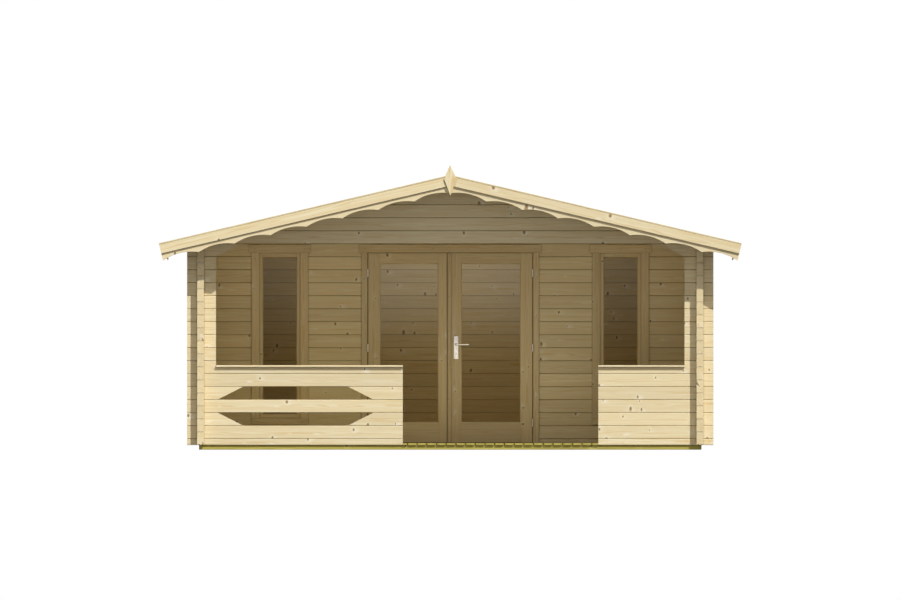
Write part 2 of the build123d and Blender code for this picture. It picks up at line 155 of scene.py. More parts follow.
floor_mesh = bpy.data.meshes.new("floor")
floor_mesh.from_pydata([(-floor_reach, -floor_reach, 0), (floor_reach, -floor_reach, 0),
                        (floor_reach, floor_reach, 0), (-floor_reach, floor_reach, 0)], [],
                       [(0, 1, 2, 3)])
floor = new_object("floor", floor_mesh)
floor.visible_diffuse = False
floor_mesh.materials.append(new_finish("pale_floor", "dedcd8", 0.8)[0])

# The base. Bearers lie flat under every wall, with joists between them. They are sawn
# softwood, pressure treated against rot, and are nailed together where they meet.
bearer_width = 0.095
joist_width = 0.07
veranda_joists = 3
room_joists = 6
board_arris = 0.002
heart_offset = 0.04
bearer_setback = 0.006
heart_scatter = (0.012, 0.02)
tree_length = 40
weld_distance = 0.00002
luck = np.random.default_rng(61)
across_x = np.array([[1.0, 0, 0], [0, 1, 0], [0, 0, 1]])
along_y = np.array([[0.0, 1, 0], [1, 0, 0], [0, 0, 1]])
upright = np.array([[0.0, 0, 1], [1, 0, 0], [0, 1, 0]])


def eased(points, size):
    """A closed outline whose corners are cut: each gives way to two points, a step of size
    along each of its two edges."""
    points = np.array(points, float)
    before = np.roll(points, 1, 0) - points
    after = np.roll(points, -1, 0) - points
    before *= size / np.linalg.norm(before, axis=1, keepdims=True)
    after *= size / np.linalg.norm(after, axis=1, keepdims=True)
    return np.stack([points + before, points + after], axis=1).reshape(-1, 2)


def planed(width, height, arris=board_arris):
    """Section of a planed board about its middle, with eased corners."""
    corners = np.array([(-1, -1), (1, -1), (1, 1), (-1, 1)]) * (width / 2, height / 2)
    return eased(corners, arris)


def timber(section, stations, axes, at=(0, 0, 0), heart=(0, 0), heights=None):
    """One piece of wood: a closed section of (across, up) carried along a straight grain.
    Point n at station s lies at along = stations[s][n], and at up = heights[s][n] where
    heights are given. It is then turned by axes, whose rows are along, across and up.
    Its grain is the same place measured from the tree's heart, at a place drawn by lot."""
    section = np.array(section, float)
    along = np.array([np.broadcast_to(place, len(section)) for place in stations], float)
    up = np.broadcast_to(section[:, 1], along.shape) if heights is None else heights
    across = np.broadcast_to(section[:, 0], along.shape)
    local = np.stack([along, across, up], axis=-1)
    spread = luck.uniform(-1, 1, 2) * heart_scatter
    centre = (section.max(0) + section.min(0)) / 2 + heart + spread
    grain = local - (luck.uniform(-tree_length, tree_length), *centre)
    points = local @ axes + at
    following = np.roll(section, -1, 0)
    area = (section[:, 0] * following[:, 1] - section[:, 1] * following[:, 0]).sum()
    if area * np.linalg.det(axes) < 0:
        points, grain = points[:, ::-1], grain[:, ::-1]
    return {"points": points, "grain": grain, "tone": luck.uniform()}


def skin(rows, around, first, looped):
    """Faces between neighbouring loops of points: (s, n), (s, n + 1), (s + 1, n + 1) and
    (s + 1, n), with an end face on the first and last loop, unless the rows close up."""
    number = first + np.arange(rows * around).reshape(rows, around)
    here = number if looped else number[:-1]
    after = np.roll(number, -1, 0) if looped else number[1:]
    sides = np.stack([here, np.roll(here, -1, 1), np.roll(after, -1, 1), after], axis=-1)
    faces = sides.reshape(-1, 4).tolist()
    ends = [] if looped else [number[0, ::-1].tolist(), number[-1].tolist()]
    return faces + ends, [0.0] * len(faces) + [1.0] * len(ends)


def build(name, parts, look, stands_for=(), body="cabin", smooth=None, tidy=False):
    """Joins parts into one piece with its look, which is a finish and a slot name, of which
    only the finish is used. Tidy closes up points that coincide."""
    finish, slot = look
    faces = []
    ends = []
    first = 0
    for part in parts:
        rows, around = part["points"].shape[:2]
        sides, caps = skin(rows, around, first, part.get("looped", False))
        faces += sides
        ends += caps
        first += rows * around
    mesh = bpy.data.meshes.new(name)
    mesh.from_pydata(np.concatenate([p["points"].reshape(-1, 3) for p in parts]), [], faces)
    grain = mesh.attributes.new("grain", "FLOAT_VECTOR", "POINT")
    places = [p.get("grain", p["points"]).reshape(-1, 3) for p in parts]
    grain.data.foreach_set("vector", np.concatenate(places).ravel())
    tone = mesh.attributes.new("tone", "FLOAT", "POINT")
    tones = [np.full(p["points"].size // 3, p.get("tone", 0.5)) for p in parts]
    tone.data.foreach_set("value", np.concatenate(tones))
    mesh.attributes.new("end_grain", "FLOAT", "FACE").data.foreach_set("value", ends)
    if tidy:
        work = bmesh.new()
        work.from_mesh(mesh)
        bmesh.ops.remove_doubles(work, verts=work.verts, dist=weld_distance)
        work.to_mesh(mesh)
        work.free()
    if smooth:
        mesh.shade_smooth()
        mesh.set_sharp_from_angle(angle=math.radians(smooth))
    mesh.materials.append(finish)
    made = new_object(name, mesh)
    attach(made, body)
    if stands_for:
        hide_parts(*stands_for)
    return made


def softwood(name, pale, deep, knot_rim, knot_heart, patch, roughness=0.62, relief=0.25):
    """Wood that is solid right through: the colour at a point follows its place in the tree.
    Rings are a sine of the distance from the heart over the ring width, to a power. Knots
    are cones out from the heart: near a lot-drawn length and angle, the arc distance over a
    radius that grows with distance from the heart. Rings bend round them, and a pale patch
    lies beside each. Corners get painted shade: the colour darkens by how little open air is
    near."""
    ring_width = 0.007
    ring_strength = 0.45
    streak_strength = 0.35
    knot_pitch = 0.21
    knot_turn = 1.15
    knot_share = 0.13
    patch_offset = (0.026, 0.01, 0)
    patch_spread = (32, 55, 0)
    corner_reach = 0.018
    sway_rate = (1.3, 5, 5)
    sway_size = (0.05, 0.03, 0.03)
    fibre_rate = (4, 170, 170)
    band_rate = (1.1, 34, 34)
    material, tree, surface = new_finish(name, pale, roughness)
    place = add(tree, "Attribute", attribute_name="grain").outputs["Vector"]
    tone = add(tree, "Attribute", attribute_name="tone").outputs["Fac"]
    end_grain = add(tree, "Attribute", attribute_name="end_grain").outputs["Fac"]

    slow = add(tree, "VectorMath MULTIPLY", place, sway_rate)
    sway = add(tree, "TexNoise", {"Vector": slow, "Scale": 1.0, "Detail": 2.0})
    sway = add(tree, "VectorMath SUBTRACT", sway.outputs["Color"], (0.5, 0.5, 0.5))
    bent = add(tree, "VectorMath MULTIPLY_ADD", sway, sway_size, place)
    part = add(tree, "SeparateXYZ", bent)
    angle = add(tree, "Math ARCTAN2", part.outputs["Z"], part.outputs["Y"])
    flat = add(tree, "VectorMath MULTIPLY", bent, (0, 1, 1))
    radius = add(tree, "VectorMath LENGTH", flat).outputs["Value"]

    length = add(tree, "Math MULTIPLY", part.outputs["X"], 1 / knot_pitch)
    turn = add(tree, "Math MULTIPLY", angle, 1 / knot_turn)
    cell = add(tree, "CombineXYZ", length, turn)
    branch = add(tree, "TexVoronoi", {"Vector": cell, "Scale": 1.0, "Randomness": 0.95},
                 voronoi_dimensions="2D")
    offset = add(tree, "VectorMath SUBTRACT", cell, branch.outputs["Position"])
    arc = add(tree, "Math MULTIPLY", radius, knot_turn)
    stretch = add(tree, "CombineXYZ", knot_pitch, arc)
    apart = add(tree, "VectorMath MULTIPLY", offset, stretch)
    away = add(tree, "VectorMath LENGTH", apart).outputs["Value"]
    lots = add(tree, "SeparateColor", branch.outputs["Color"])
    chosen = add(tree, "Math LESS_THAN", lots.outputs["Green"], knot_share)
    share = add(tree, "MapRange", lots.outputs["Red"], 0, 1, 0.08, 0.24)
    size = add(tree, "Math MULTIPLY", radius, share)
    size = add(tree, "Math MULTIPLY_ADD", size, chosen, 0.00001)
    nearness = add(tree, "Math DIVIDE", away, size)
    knot = add(tree, "MapRange", nearness, 1.25, 0.8, 0, 0.9)
    core = add(tree, "MapRange", nearness, 0.9, 0.1, 0, 0.9)
    squared = add(tree, "Math MULTIPLY", nearness, nearness)
    fall = add(tree, "Math MULTIPLY", squared, -0.16)
    halo = add(tree, "Math POWER", math.e, fall)

    beside = add(tree, "VectorMath SUBTRACT", apart, patch_offset)
    beside = add(tree, "VectorMath MULTIPLY", beside, patch_spread)
    beside = add(tree, "VectorMath DOT_PRODUCT", beside, beside)
    fall = add(tree, "Math MULTIPLY", beside.outputs["Value"], -1)
    bright = add(tree, "Math POWER", math.e, fall)
    bright = add(tree, "Math MULTIPLY", bright, chosen)
    bright = add(tree, "Math MULTIPLY", bright, lots.outputs["Blue"])
    bright = add(tree, "Math MULTIPLY", bright, 0.75, use_clamp=True)

    fine = add(tree, "VectorMath MULTIPLY", bent, fibre_rate)
    fibre = add(tree, "TexNoise", {"Vector": fine, "Scale": 1.0, "Detail": 4.0,
                                   "Roughness": 0.6}).outputs["Fac"]
    wide = add(tree, "VectorMath MULTIPLY", bent, band_rate)
    band = add(tree, "TexNoise", {"Vector": wide, "Scale": 1.0, "Detail": 3.0}).outputs["Fac"]

    rings = add(tree, "Math MULTIPLY", radius, 1 / ring_width)
    rings = add(tree, "Math MULTIPLY_ADD", halo, 1.6, rings)
    rings = add(tree, "Math MULTIPLY_ADD", band, 1.5, rings)
    wave = add(tree, "Math MULTIPLY", rings, 2 * math.pi)
    wave = add(tree, "Math SINE", wave)
    wave = add(tree, "Math MULTIPLY_ADD", wave, 0.5, 0.5)
    late = add(tree, "Math POWER", wave, 2.2)

    strength = add(tree, "Math MULTIPLY_ADD", end_grain, 0.35, ring_strength)
    streaks = add(tree, "MapRange", band, 0.35, 0.7, 0, streak_strength)
    depth = add(tree, "Math MULTIPLY_ADD", late, strength, streaks)
    fibres = add(tree, "MapRange", fibre, 0.3, 0.75, -0.12, 0.2)
    depth = add(tree, "Math ADD", depth, fibres)
    depth = add(tree, "Math MULTIPLY_ADD", halo, -0.5, depth, use_clamp=True)
    colour = add(tree, "Mix", {0: depth, 6: linear(pale), 7: linear(deep)}, data_type="RGBA")
    shade = add(tree, "MapRange", tone, 0, 1, 0.93, 1.05)
    ends = add(tree, "MapRange", end_grain, 0, 1, 1, 1.02)
    shade = add(tree, "Math MULTIPLY", shade, ends)
    tinted = add(tree, "HueSaturation", {"Color": colour.outputs[2], "Value": shade})
    colour = tinted.outputs[0]
    for factor, code in ((bright, patch), (knot, knot_rim), (core, knot_heart)):
        colour = add(tree, "Mix", {0: factor, 6: colour, 7: linear(code)},
                     data_type="RGBA").outputs[2]
    # Painted shade: the colour is darkened in corners and seams, by how little open air the AO
    # node finds near.
    open_air = add(tree, "AmbientOcclusion", {"Distance": corner_reach}, samples=6)
    painted_corner_shade = add(tree, "MapRange", open_air.outputs["AO"], 0.4, 0.95, 0.62, 1)
    wear_and_corner_shade = add(tree, "HueSaturation", {"Color": colour, "Value": painted_corner_shade})
    tree.links.new(wear_and_corner_shade.outputs[0], surface.inputs["Base Color"])

    dull = add(tree, "MapRange", depth, 0, 1, roughness + 0.08, roughness - 0.06)
    dull = add(tree, "Math MULTIPLY_ADD", knot, -0.14, dull)
    tree.links.new(dull.outputs[0], surface.inputs["Roughness"])
    height = add(tree, "Math MULTIPLY_ADD", late, 0.6, fibre)
    bump = add(tree, "Bump", {"Strength": relief, "Distance": 0.0008, "Height": height})
    tree.links.new(bump.outputs[0], surface.inputs["Normal"])
    return material


# Pressure-treated pine, rough sawn: green-brown and dull, with faint rings.
treated_pine = softwood("treated_pine", "cbbb5a", "928338", "6d5f2c", "54471f", "cdbf70",
                        roughness=0.78, relief=0.5)
sawn_pine = (treated_pine, "treated_pine")


def box_timber(low, high, lengthwise, arris=board_arris):
    """A timber between two corners, with its grain along x (0), y (1) or z (2). The tree's
    heart lies outside it, square off its wide face."""
    low, high = np.array(low, float), np.array(high, float)
    width, height = np.delete(high - low, lengthwise)
    half = (high - low)[lengthwise] / 2
    axes = (across_x, along_y, upright)[lengthwise]
    heart = (0, -heart_offset) if width > height else (heart_offset, 0)
    return timber(planed(width, height, arris), (-half, half), axes, (low + high) / 2, heart)


base_low, base_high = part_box("cross_bearers")
wall_low, wall_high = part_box("door_wall_piers")
door_face = wall_low.y
door_back = wall_high.y
door_middle = (door_face + door_back) / 2
base_top = base_high.z
middle_start = door_middle - bearer_width / 2
inner = base_high.x - bearer_width
bays = ((base_low.y + bearer_width, middle_start, veranda_joists),
        (middle_start + bearer_width, base_high.y - bearer_width, room_joists))
cross_starts = (base_low.y + bearer_setback, middle_start,
                base_high.y - bearer_width - bearer_setback)
joist_lines = [start + (end - start) * (number + 1) / (count + 1)
               for start, end, count in bays for number in range(count)]
build("cross_bearers_sawn",
      [box_timber((base_low.x, y, 0), (base_high.x, y + bearer_width, base_top), 0)
       for y in cross_starts], sawn_pine, ["cross_bearers"])
build("side_bearers_sawn",
      [box_timber((x, start, 0), (x + bearer_width, end, base_top), 1)
       for start, end, count in bays for x in (base_low.x, inner)], sawn_pine, ["side_bearers"])
build("floor_joists_sawn",
      [box_timber((-inner, y - joist_width / 2, 0), (inner, y + joist_width / 2, base_top), 0)
       for y in joist_lines], sawn_pine, ["floor_joists"])

# The floors. Treated deck boards run from a batten by the doors to the front, with gaps for
# rain, and each is screwed to every joist. Room boards are tongued into each other and bare.
deck_gap = 0.013
deck_pitch = 0.1008
first_gap = 0.048
deck_arris = 0.003
ripped_least = 0.02
batten_width = 0.018
room_board = 0.0945
room_joint = 0.0004
screw_radius = 0.0042
screw_inset = 0.02

deck_low, deck_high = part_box("veranda_deck")
room_low, room_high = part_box("room_floor")
rails_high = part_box("left_railing_blocks")[1]
cap_low, cap_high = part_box("railing_caps")
right_railing_length = 0.895
left_railing_end = rails_high.x
right_railing_end = cap_high.x - right_railing_length
front_back = rails_high.y
deck_edge = deck_high.x


def turned(profile, centre, axis, around=8, start=0.0):
    """A turned shape: rows of (radius, height), each a ring of points at the centre plus
    height along the axis plus the radius times cosine and sine of even angles."""
    axis = np.array(axis, float)
    side = np.cross(axis, (0, 0, 1) if abs(axis[2]) < 0.5 else (1, 0, 0))
    side /= np.linalg.norm(side)
    other = np.cross(axis, side)
    turn = start + np.arange(around) * 2 * math.pi / around
    ring = np.cos(turn)[:, None] * side + np.sin(turn)[:, None] * other
    profile = np.array(profile, float)
    rise = profile[:, 1][:, None, None] * axis
    return {"points": np.array(centre, float) + rise + profile[:, 0][:, None, None] * ring}


def screws(places, axis, radius=screw_radius):
    """Countersunk screw heads, each a low disc with a recess for the bit."""
    profile = np.array([(1, -0.1), (1, 0.08), (0.5, 0.08), (0.42, -0.3)]) * radius
    return [turned(profile, place, axis, start=luck.uniform(0, 1)) for place in places]


def grained_metal(name, colour, roughness, metallic, grain, spread):
    """Metal whose colour and gloss vary with fine noise: grain is its size in metres."""
    material, tree, surface = new_finish(name, colour, roughness, metallic)
    place = add(tree, "TexCoord").outputs["Object"]
    noise = add(tree, "TexNoise", {"Vector": place, "Scale": 1 / grain, "Detail": 3.0})
    value = add(tree, "MapRange", noise, 0.3, 0.7, 1 - spread, 1 + spread)
    tint = add(tree, "HueSaturation", {"Color": linear(colour), "Value": value})
    tree.links.new(tint.outputs[0], surface.inputs["Base Color"])
    gloss = add(tree, "MapRange", noise, 0.3, 0.7, roughness * 1.2, roughness * 0.8)
    tree.links.new(gloss.outputs[0], surface.inputs["Roughness"])
    return material


# Zinc-plated steel, as on hinges and screws: pale grey, mottled and a little cloudy.
zinc = (grained_metal("zinc_steel", "f1ecdf", 0.32, 0.8, 0.004, 0.1), "zinc_steel")
deck_pine = (treated_pine, "deck_pine")

deck_boards = []
deck_screws = []
deck_lines = [base_low.y + 0.8 * bearer_width, *joist_lines[:veranda_joists]]
gap_line = left_railing_end + first_gap
boards_left = math.ceil((gap_line + deck_edge) / deck_pitch)
boards_right = math.ceil((deck_edge - gap_line) / deck_pitch)
deck_back = deck_high.y - batten_width
for number in range(-boards_left, boards_right):
    left = max(gap_line + number * deck_pitch + deck_gap / 2, -deck_edge)
    right = min(gap_line + (number + 1) * deck_pitch - deck_gap / 2, deck_edge)
    if right - left < ripped_least:
        continue
    notches = [x for x in (left_railing_end, right_railing_end) if left < x < right]
    edges = [left, *notches, right]
    for start, end in zip(edges, edges[1:]):
        way_in = left_railing_end < (start + end) / 2 < right_railing_end
        front = deck_low.y if way_in else front_back + deck_gap
        deck_boards.append(box_timber((start, front, base_top),
                                      (end, deck_back, deck_high.z), 1, deck_arris))
    deck_screws += [(x, y, deck_high.z) for y in deck_lines
                    for x in (left + screw_inset, right - screw_inset)
                    if right - left > 2.5 * screw_inset]
deck_boards.append(box_timber((-deck_edge, deck_back, base_top),
                              (deck_edge, deck_high.y, deck_high.z), 0))
build("deck_boards", deck_boards, deck_pine, ["veranda_deck"])
build("deck_screws", screws(deck_screws, (0, 0, 1)), zinc)

# Planed spruce, unpainted: pale cream with warmer rings and small brown knots.
planed_spruce = softwood("planed_spruce", "ecdfba", "dbbd82", "b08f60", "7d6244", "f7eedb")
planed_pine = (planed_spruce, "planed_pine")
log_pine = (planed_spruce, "log_pine")

room_boards = []
for left in np.arange(room_low.x, room_high.x - ripped_least, room_board):
    right = min(left + room_board - room_joint, room_high.x)
    room_boards.append(box_timber((left, room_low.y, room_low.z),
                                  (right, room_high.y, room_high.z), 1))
build("room_floor_boards", room_boards, planed_pine, ["room_floor"])

# The walls. Planed spruce logs stand on edge, tongued and grooved, and are halved into each
# other where they cross, so their ends stand out past each corner. Nothing else holds them.
log_height = 0.135
log_thickness = 0.07
half_log = log_thickness / 2
log_bevel = 0.005
seam_gap = 0.0015
tongue_height = 0.008
tongue_width = 0.014
tongue_centre = 0.016
tongue_taper = 0.002
groove_clearance = 0.001
end_arris = 0.003
least_end = 0.004
past_roof = 9.0
roof_pitch = math.radians(13.19)
lath_thickness = 0.016
felt_thickness = 0.003
roof_board_thickness = 0.02

gable_low, gable_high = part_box("front_gable")
rear_low, rear_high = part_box("rear_wall")
side_wall_low, side_wall_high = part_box("right_side_wall")
plate_low, plate_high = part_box("wall_plates")
laths_low, laths_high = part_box("cap_laths")
front_face = gable_low.y
front_middle = front_face + half_log
rear_middle = (rear_low.y + rear_high.y) / 2
log_tip = gable_high.x
side_middle = (side_wall_low.x + side_wall_high.x) / 2
front_clear_top = gable_low.z
top_apex = laths_high.z
roof_depth = lath_thickness + felt_thickness + roof_board_thickness
under_apex = top_apex - roof_depth / math.cos(roof_pitch)
seat = log_height / 4


def log_profile(low, high):
    """Section of a log: bevels at the four corners, two tongues on top and two grooves
    below, each a little wider at its foot."""
    neck = half_log - log_bevel
    top = high - seam_gap
    side = [(neck, low), (half_log, low + log_bevel), (half_log, top - log_bevel),
            (neck, top)]
    foot = tongue_width / 2
    tip = foot - tongue_taper
    tongue = [(tongue_centre + foot, top), (tongue_centre + tip, top + tongue_height),
              (tongue_centre - tip, top + tongue_height), (tongue_centre - foot, top)]
    groove = [(x + math.copysign(groove_clearance, x - tongue_centre),
               z - top + low + groove_clearance * (z > top)) for x, z in tongue]
    half = side + tongue
    return np.array([(-x, z) for x, z in groove] + groove[::-1] + half
                    + [(-x, z) for x, z in half[::-1]])


def roof_at(x):
    """Height of the roof boards' underside: the apex less the distance from the middle times
    the slope."""
    return under_apex - np.abs(x) * math.tan(roof_pitch)


def stepped(marks):
    """Two stations at each inner mark, so that heights can step there, and for each station
    the middle of the span it belongs to."""
    middles = [(a + b) / 2 for a, b in zip(marks, marks[1:])]
    return np.repeat(marks, 2)[1:-1], np.repeat(middles, 2)


def log(low, high, start, end, axes, at, cuts=(), under_roof=False):
    """A log from start to end, which may be slanted: one place for each point of its section.
    Each cut (from, to, low, high) leaves only that much of its height. Under the roof, its
    top is also held down to the roof line, which falls with the distance from the middle."""
    first, last = float(np.min(start)), float(np.max(end))
    section = log_profile(low, high)
    square_ends = np.ndim(start) == 0 and np.ndim(end) == 0
    marks = {first, last, *[edge for cut in cuts for edge in cut[:2]]}
    if square_ends:
        marks |= {first + end_arris, last - end_arris}
    if under_roof:
        meeting = (under_apex - high) / math.tan(roof_pitch)
        marks |= {-meeting, meeting} if meeting > 0 else {0.0}
    stations, spans = stepped(sorted(mark for mark in marks if first <= mark <= last))
    limits = np.tile([low - 1.0, high + 1.0], (len(stations), 1))
    for begin, stop, bottom, top in cuts:
        limits[(spans > begin) & (spans < stop)] = bottom, top
    if under_roof:
        limits[:, 1] = np.minimum(limits[:, 1], roof_at(stations))
    heights = np.minimum(np.maximum(section[:, 1], limits[:, :1]), limits[:, 1:])
    if square_ends:
        rims = heights[[0, -1]]
        heights[[0, -1]] = np.clip(rims, rims.min(1, keepdims=True) + end_arris,
                                   rims.max(1, keepdims=True) - end_arris)
    return timber(section, [start, *stations[1:-1], end], axes, at, heights=heights)


def halvings(low, high, places, first, last):
    """Where logs that cross this one are let into it: its middle half is left."""
    bottom = low if high - low < 0.75 * log_height else low + seat
    return [(place - half_log, place + half_log, bottom, high - seat)
            for place in places if first < place < last]


def cross_log(low, high, y, start, end, cuts=()):
    """A log from side to side, halved where the side logs cross it."""
    seats = halvings(low, high, (-side_middle, side_middle), np.min(start), np.max(end))
    return log(low, high, start, end, across_x, (0, y, 0), [*cuts, *seats], True)


def course(low, high, y, openings=()):
    """One course of a cross wall, from tip to tip or up to the roof. Openings (left, right,
    bottom, top) part it where they take its whole height, and else are cut out of it."""
    tip = min(log_tip, (under_apex - low - least_end) / math.tan(roof_pitch))
    parting = sorted(gap for gap in openings if gap[2] <= low + seam_gap
                     and gap[3] >= min(high, under_apex) - seam_gap and gap[0] < tip)
    edges = [-tip, *[x for gap in parting for x in gap[:2]], tip]
    made = []
    for left, right in zip(edges[::2], edges[1::2]):
        cuts = [(max(a, left), min(b, right),
                 *((0, bottom) if bottom > low else (top, past_roof)))
                for a, b, bottom, top in openings if a < right and left < b
                and (a, b, bottom, top) not in parting and bottom < high and low < top]
        if right - left > least_end:
            made.append(cross_log(low, high, y, left, right, cuts))
    return made


def cross_courses(bottom, top):
    """Seams of a cross wall from bottom to top. It starts with half a log."""
    first = base_top + log_height / 2
    levels = [base_top, *np.arange(first, under_apex + log_height, log_height)]
    return [(low, high) for low, high in zip(levels, levels[1:])
            if low > bottom - seat and low < min(top, under_apex - least_end) - seam_gap]


purlins_low, purlins_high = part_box("side_purlins")
purlin_middle = purlins_high.x - half_log
roof_line = {x: roof_at(x) for x in (-purlin_middle, 0.0, purlin_middle)}
purlin_notches = [(x - half_log, x + half_log, top - log_height, past_roof)
                  for x, top in roof_line.items()]
rear_logs = [piece for low, high in cross_courses(0, past_roof)
             for piece in course(low, high, rear_middle, purlin_notches)]
build("rear_wall_logs", rear_logs, log_pine, ["rear_wall"], tidy=True)

both_sides = ((-1, "left"), (1, "right"))
cross_walls = (front_middle, door_middle, rear_middle)
side_bottom, side_top = side_wall_low.z, side_wall_high.z
side_levels = np.arange(side_bottom, side_top + log_height / 2, log_height)
for side, name in both_sides:
    at = (side * side_middle, 0, 0)
    side_logs = [log(low, high, side_wall_low.y, side_wall_high.y, along_y, at,
                     halvings(low, high, cross_walls, side_wall_low.y, side_wall_high.y))
                 for low, high in zip(side_levels, side_levels[1:])]
    build(name + "_side_wall_logs", side_logs, log_pine, [name + "_side_wall"], tidy=True)

# Wall plates. The top log of each side wall runs on front and back to carry the roof, and
# its top is planed to the roof's slope. It is halved over the cross walls like the others.
plates = []
plate_bottom = side_top
plate_section = log_profile(plate_bottom, plate_bottom + log_height)
for side in (-1, 1):
    planed_off = np.minimum(plate_section[:, 1],
                            roof_at(side * side_middle + plate_section[:, 0]))
    marks = [plate_low.y, *[middle + edge * half_log for middle in cross_walls
                            for edge in (-1, 1)], plate_high.y]
    stations, spans = stepped(marks)
    heights = np.tile(planed_off, (len(stations), 1))
    halved = np.isin(spans.round(4), np.round(cross_walls, 4))
    heights[halved] = np.clip(planed_off, plate_bottom + seat,
                              plate_bottom + log_height - seat)
    plates.append(timber(plate_section, stations, along_y, (side * side_middle, 0, 0),
                         heights=heights))
build("planed_wall_plates", plates, log_pine, ["wall_plates"], tidy=True)

# The front wall. Log railings stand each side of the way in, with piers of short logs at the
# corners. Two courses of the left railing are sawn off aslant, which leaves long gaps, and
# the piers carry corbels, sawn aslant too, under the front gable.
gap_margin = 0.016
gap_length = 1.621
end_slant = 0.268
gap_courses = {2: 0, 4: 1}
gap_start = cap_low.x + gap_margin
gap_end = gap_start + gap_length
railing_top = cap_low.z
pier_edge = cap_high.x


def sawn_aslant(low, high, bottom_x, top_x):
    """Where a saw cut crosses each point of a log's section: from bottom_x at its underside
    to top_x at its top, in proportion to the height."""
    share = (log_profile(low, high)[:, 1] - low) / (high - low)
    return bottom_x + (top_x - bottom_x) * share


railing_logs = []
railing_blocks = []
pier_logs = []
for number, (low, high) in enumerate(cross_courses(0, railing_top)):
    left_cuts = []
    right_cuts = []
    if high > railing_top:
        left_cuts = [(-pier_edge, left_railing_end, 0, railing_top)]
        right_cuts = [(right_railing_end, pier_edge, 0, railing_top)]
    if number + 1 in gap_courses:
        flare = gap_courses[number + 1] * end_slant
        left_cuts = [(gap_start + end_slant - flare, gap_end - end_slant + flare, 0,
                      high - seam_gap)]
    if number in gap_courses:
        foot, head = (end_slant, 0) if gap_courses[number] == 0 else (0, end_slant)
        outer = sawn_aslant(low, high, gap_start + foot, gap_start + head)
        inner = sawn_aslant(low, high, gap_end - foot, gap_end - head)
        railing_blocks += [cross_log(low, high, front_middle, -log_tip, outer),
                           cross_log(low, high, front_middle, inner, left_railing_end)]
    else:
        railing_logs.append(cross_log(low, high, front_middle, -log_tip, left_railing_end,
                                      left_cuts))
    railing_logs.append(cross_log(low, high, front_middle, right_railing_end, log_tip,
                                  right_cuts))
corbel_bottom = front_clear_top - log_height
for low, high in cross_courses(railing_top + log_height / 2, corbel_bottom):
    pier_logs += [cross_log(low, high, front_middle, -log_tip, -pier_edge),
                  cross_log(low, high, front_middle, pier_edge, log_tip)]
slant = sawn_aslant(corbel_bottom, front_clear_top, pier_edge, pier_edge - end_slant)
corbels = [cross_log(corbel_bottom, front_clear_top, front_middle, slant, log_tip),
           cross_log(corbel_bottom, front_clear_top, front_middle, -log_tip, -slant)]
gable_logs = [piece for low, high in cross_courses(front_clear_top, past_roof)
              for piece in course(low, high, front_middle, purlin_notches)]
for name, logs, node in (("planed_railing_logs", railing_logs, "railing_logs"),
                         ("sawn_railing_blocks", railing_blocks, "left_railing_blocks"),
                         ("pier_logs", pier_logs, "front_piers"),
                         ("slanted_corbels", corbels, "front_corbels"),
                         ("front_gable_logs", gable_logs, "front_gable")):
    build(name, logs, log_pine, [node], tidy=True)

cap_edges = ((cap_low.x, left_railing_end), (right_railing_end, cap_high.x))
caps = [box_timber((left, cap_low.y, cap_low.z), (right, cap_high.y, cap_high.z), 0,
                   deck_arris) for left, right in cap_edges]
build("railing_cap_boards", caps, planed_pine, ["railing_caps"])

# The wall behind the veranda. Its logs are cut round the doorway and the two windows, and
# one long log runs over all three, rebated to sit down on their heads.
jamb_low, jamb_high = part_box("door_jambs")
below_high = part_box("door_wall_below_windows")[1]
lintel = jamb_high.z
openings = [(-below_high.x, -wall_high.x, below_high.z, lintel),
            (-jamb_high.x, jamb_high.x, 0.0, lintel),
            (wall_high.x, below_high.x, below_high.z, lintel), *purlin_notches]
door_logs = [piece for low, high in cross_courses(0, past_roof)
             for piece in course(low, high, door_middle, openings)]
build("door_wall_logs", door_logs, log_pine,
      ["door_wall_ends", "door_wall_piers", "door_wall_below_windows", "door_wall_gable"],
      tidy=True)

# The purlins. Whole logs run from verge to verge through notches in the three gables, and
# their tops are planed to lie under the roof boards.
purlin_arris = 0.003
cosine, sine = math.cos(roof_pitch), math.sin(roof_pitch)


def purlin(x):
    """Section of a purlin in x and height: a log on edge, up to the roof line, with a ridge
    on the middle one."""
    left, right = x - half_log, x + half_log
    low = roof_line[x] - log_height
    roof = [(edge, roof_at(edge)) for edge in ((right, left) if x else (right, 0, left))]
    outline = eased([(left, low), (right, low), *roof], purlin_arris)
    return timber(outline, (purlins_low.y, purlins_high.y), along_y)


build("ridge_log", [purlin(0.0)], log_pine, ["ridge_purlin"])
build("side_roof_logs", [purlin(-purlin_middle), purlin(purlin_middle)], log_pine,
      ["side_purlins"])

# The roof boards. Tongued boards run down each slope, nailed to the purlins and plates,
# with a small vee at each joint underneath, where they show.
roof_board_cover = 0.108
roof_vee = 0.004
eave_inset = 0.046
boards_low, boards_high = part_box("right_roof_boards")
slope_length = laths_high.x / cosine
board_top = -(lath_thickness + felt_thickness)
board_bottom = board_top - roof_board_thickness


def slope_axes(side):
    """Down the slope, front to back, and square out of the slope, on one side."""
    return np.array([[side * cosine, 0, -sine], [0, 1, 0], [side * sine, 0, cosine]])


def ridge_cut(up, start=0.0):
    """Where an upright cut, a given distance from the ridge's middle plane, meets a board
    that lies up above the slope's top line: along the slope from the ridge."""
    return (start - np.asarray(up) * sine) / cosine


def roof_board(front, back, axes):
    """One roof board between two depths of the roof, cut upright at the ridge."""
    section = [(front + roof_vee, board_bottom), (back - roof_vee, board_bottom),
               (back, board_bottom + roof_vee), (back, board_top), (front, board_top),
               (front, board_bottom + roof_vee)]
    starts = ridge_cut([up for across, up in section])
    return timber(section, (starts, slope_length - eave_inset), axes, (0, 0, top_apex))


roof_boards = round((boards_high.y - boards_low.y) / roof_board_cover)
edges = np.linspace(boards_low.y, boards_high.y, roof_boards + 1)
for side, name in both_sides:
    build(name + "_sloping_boards",
          [roof_board(front, back - room_joint, slope_axes(side))
           for front, back in zip(edges, edges[1:])], planed_pine, [name + "_roof_boards"])

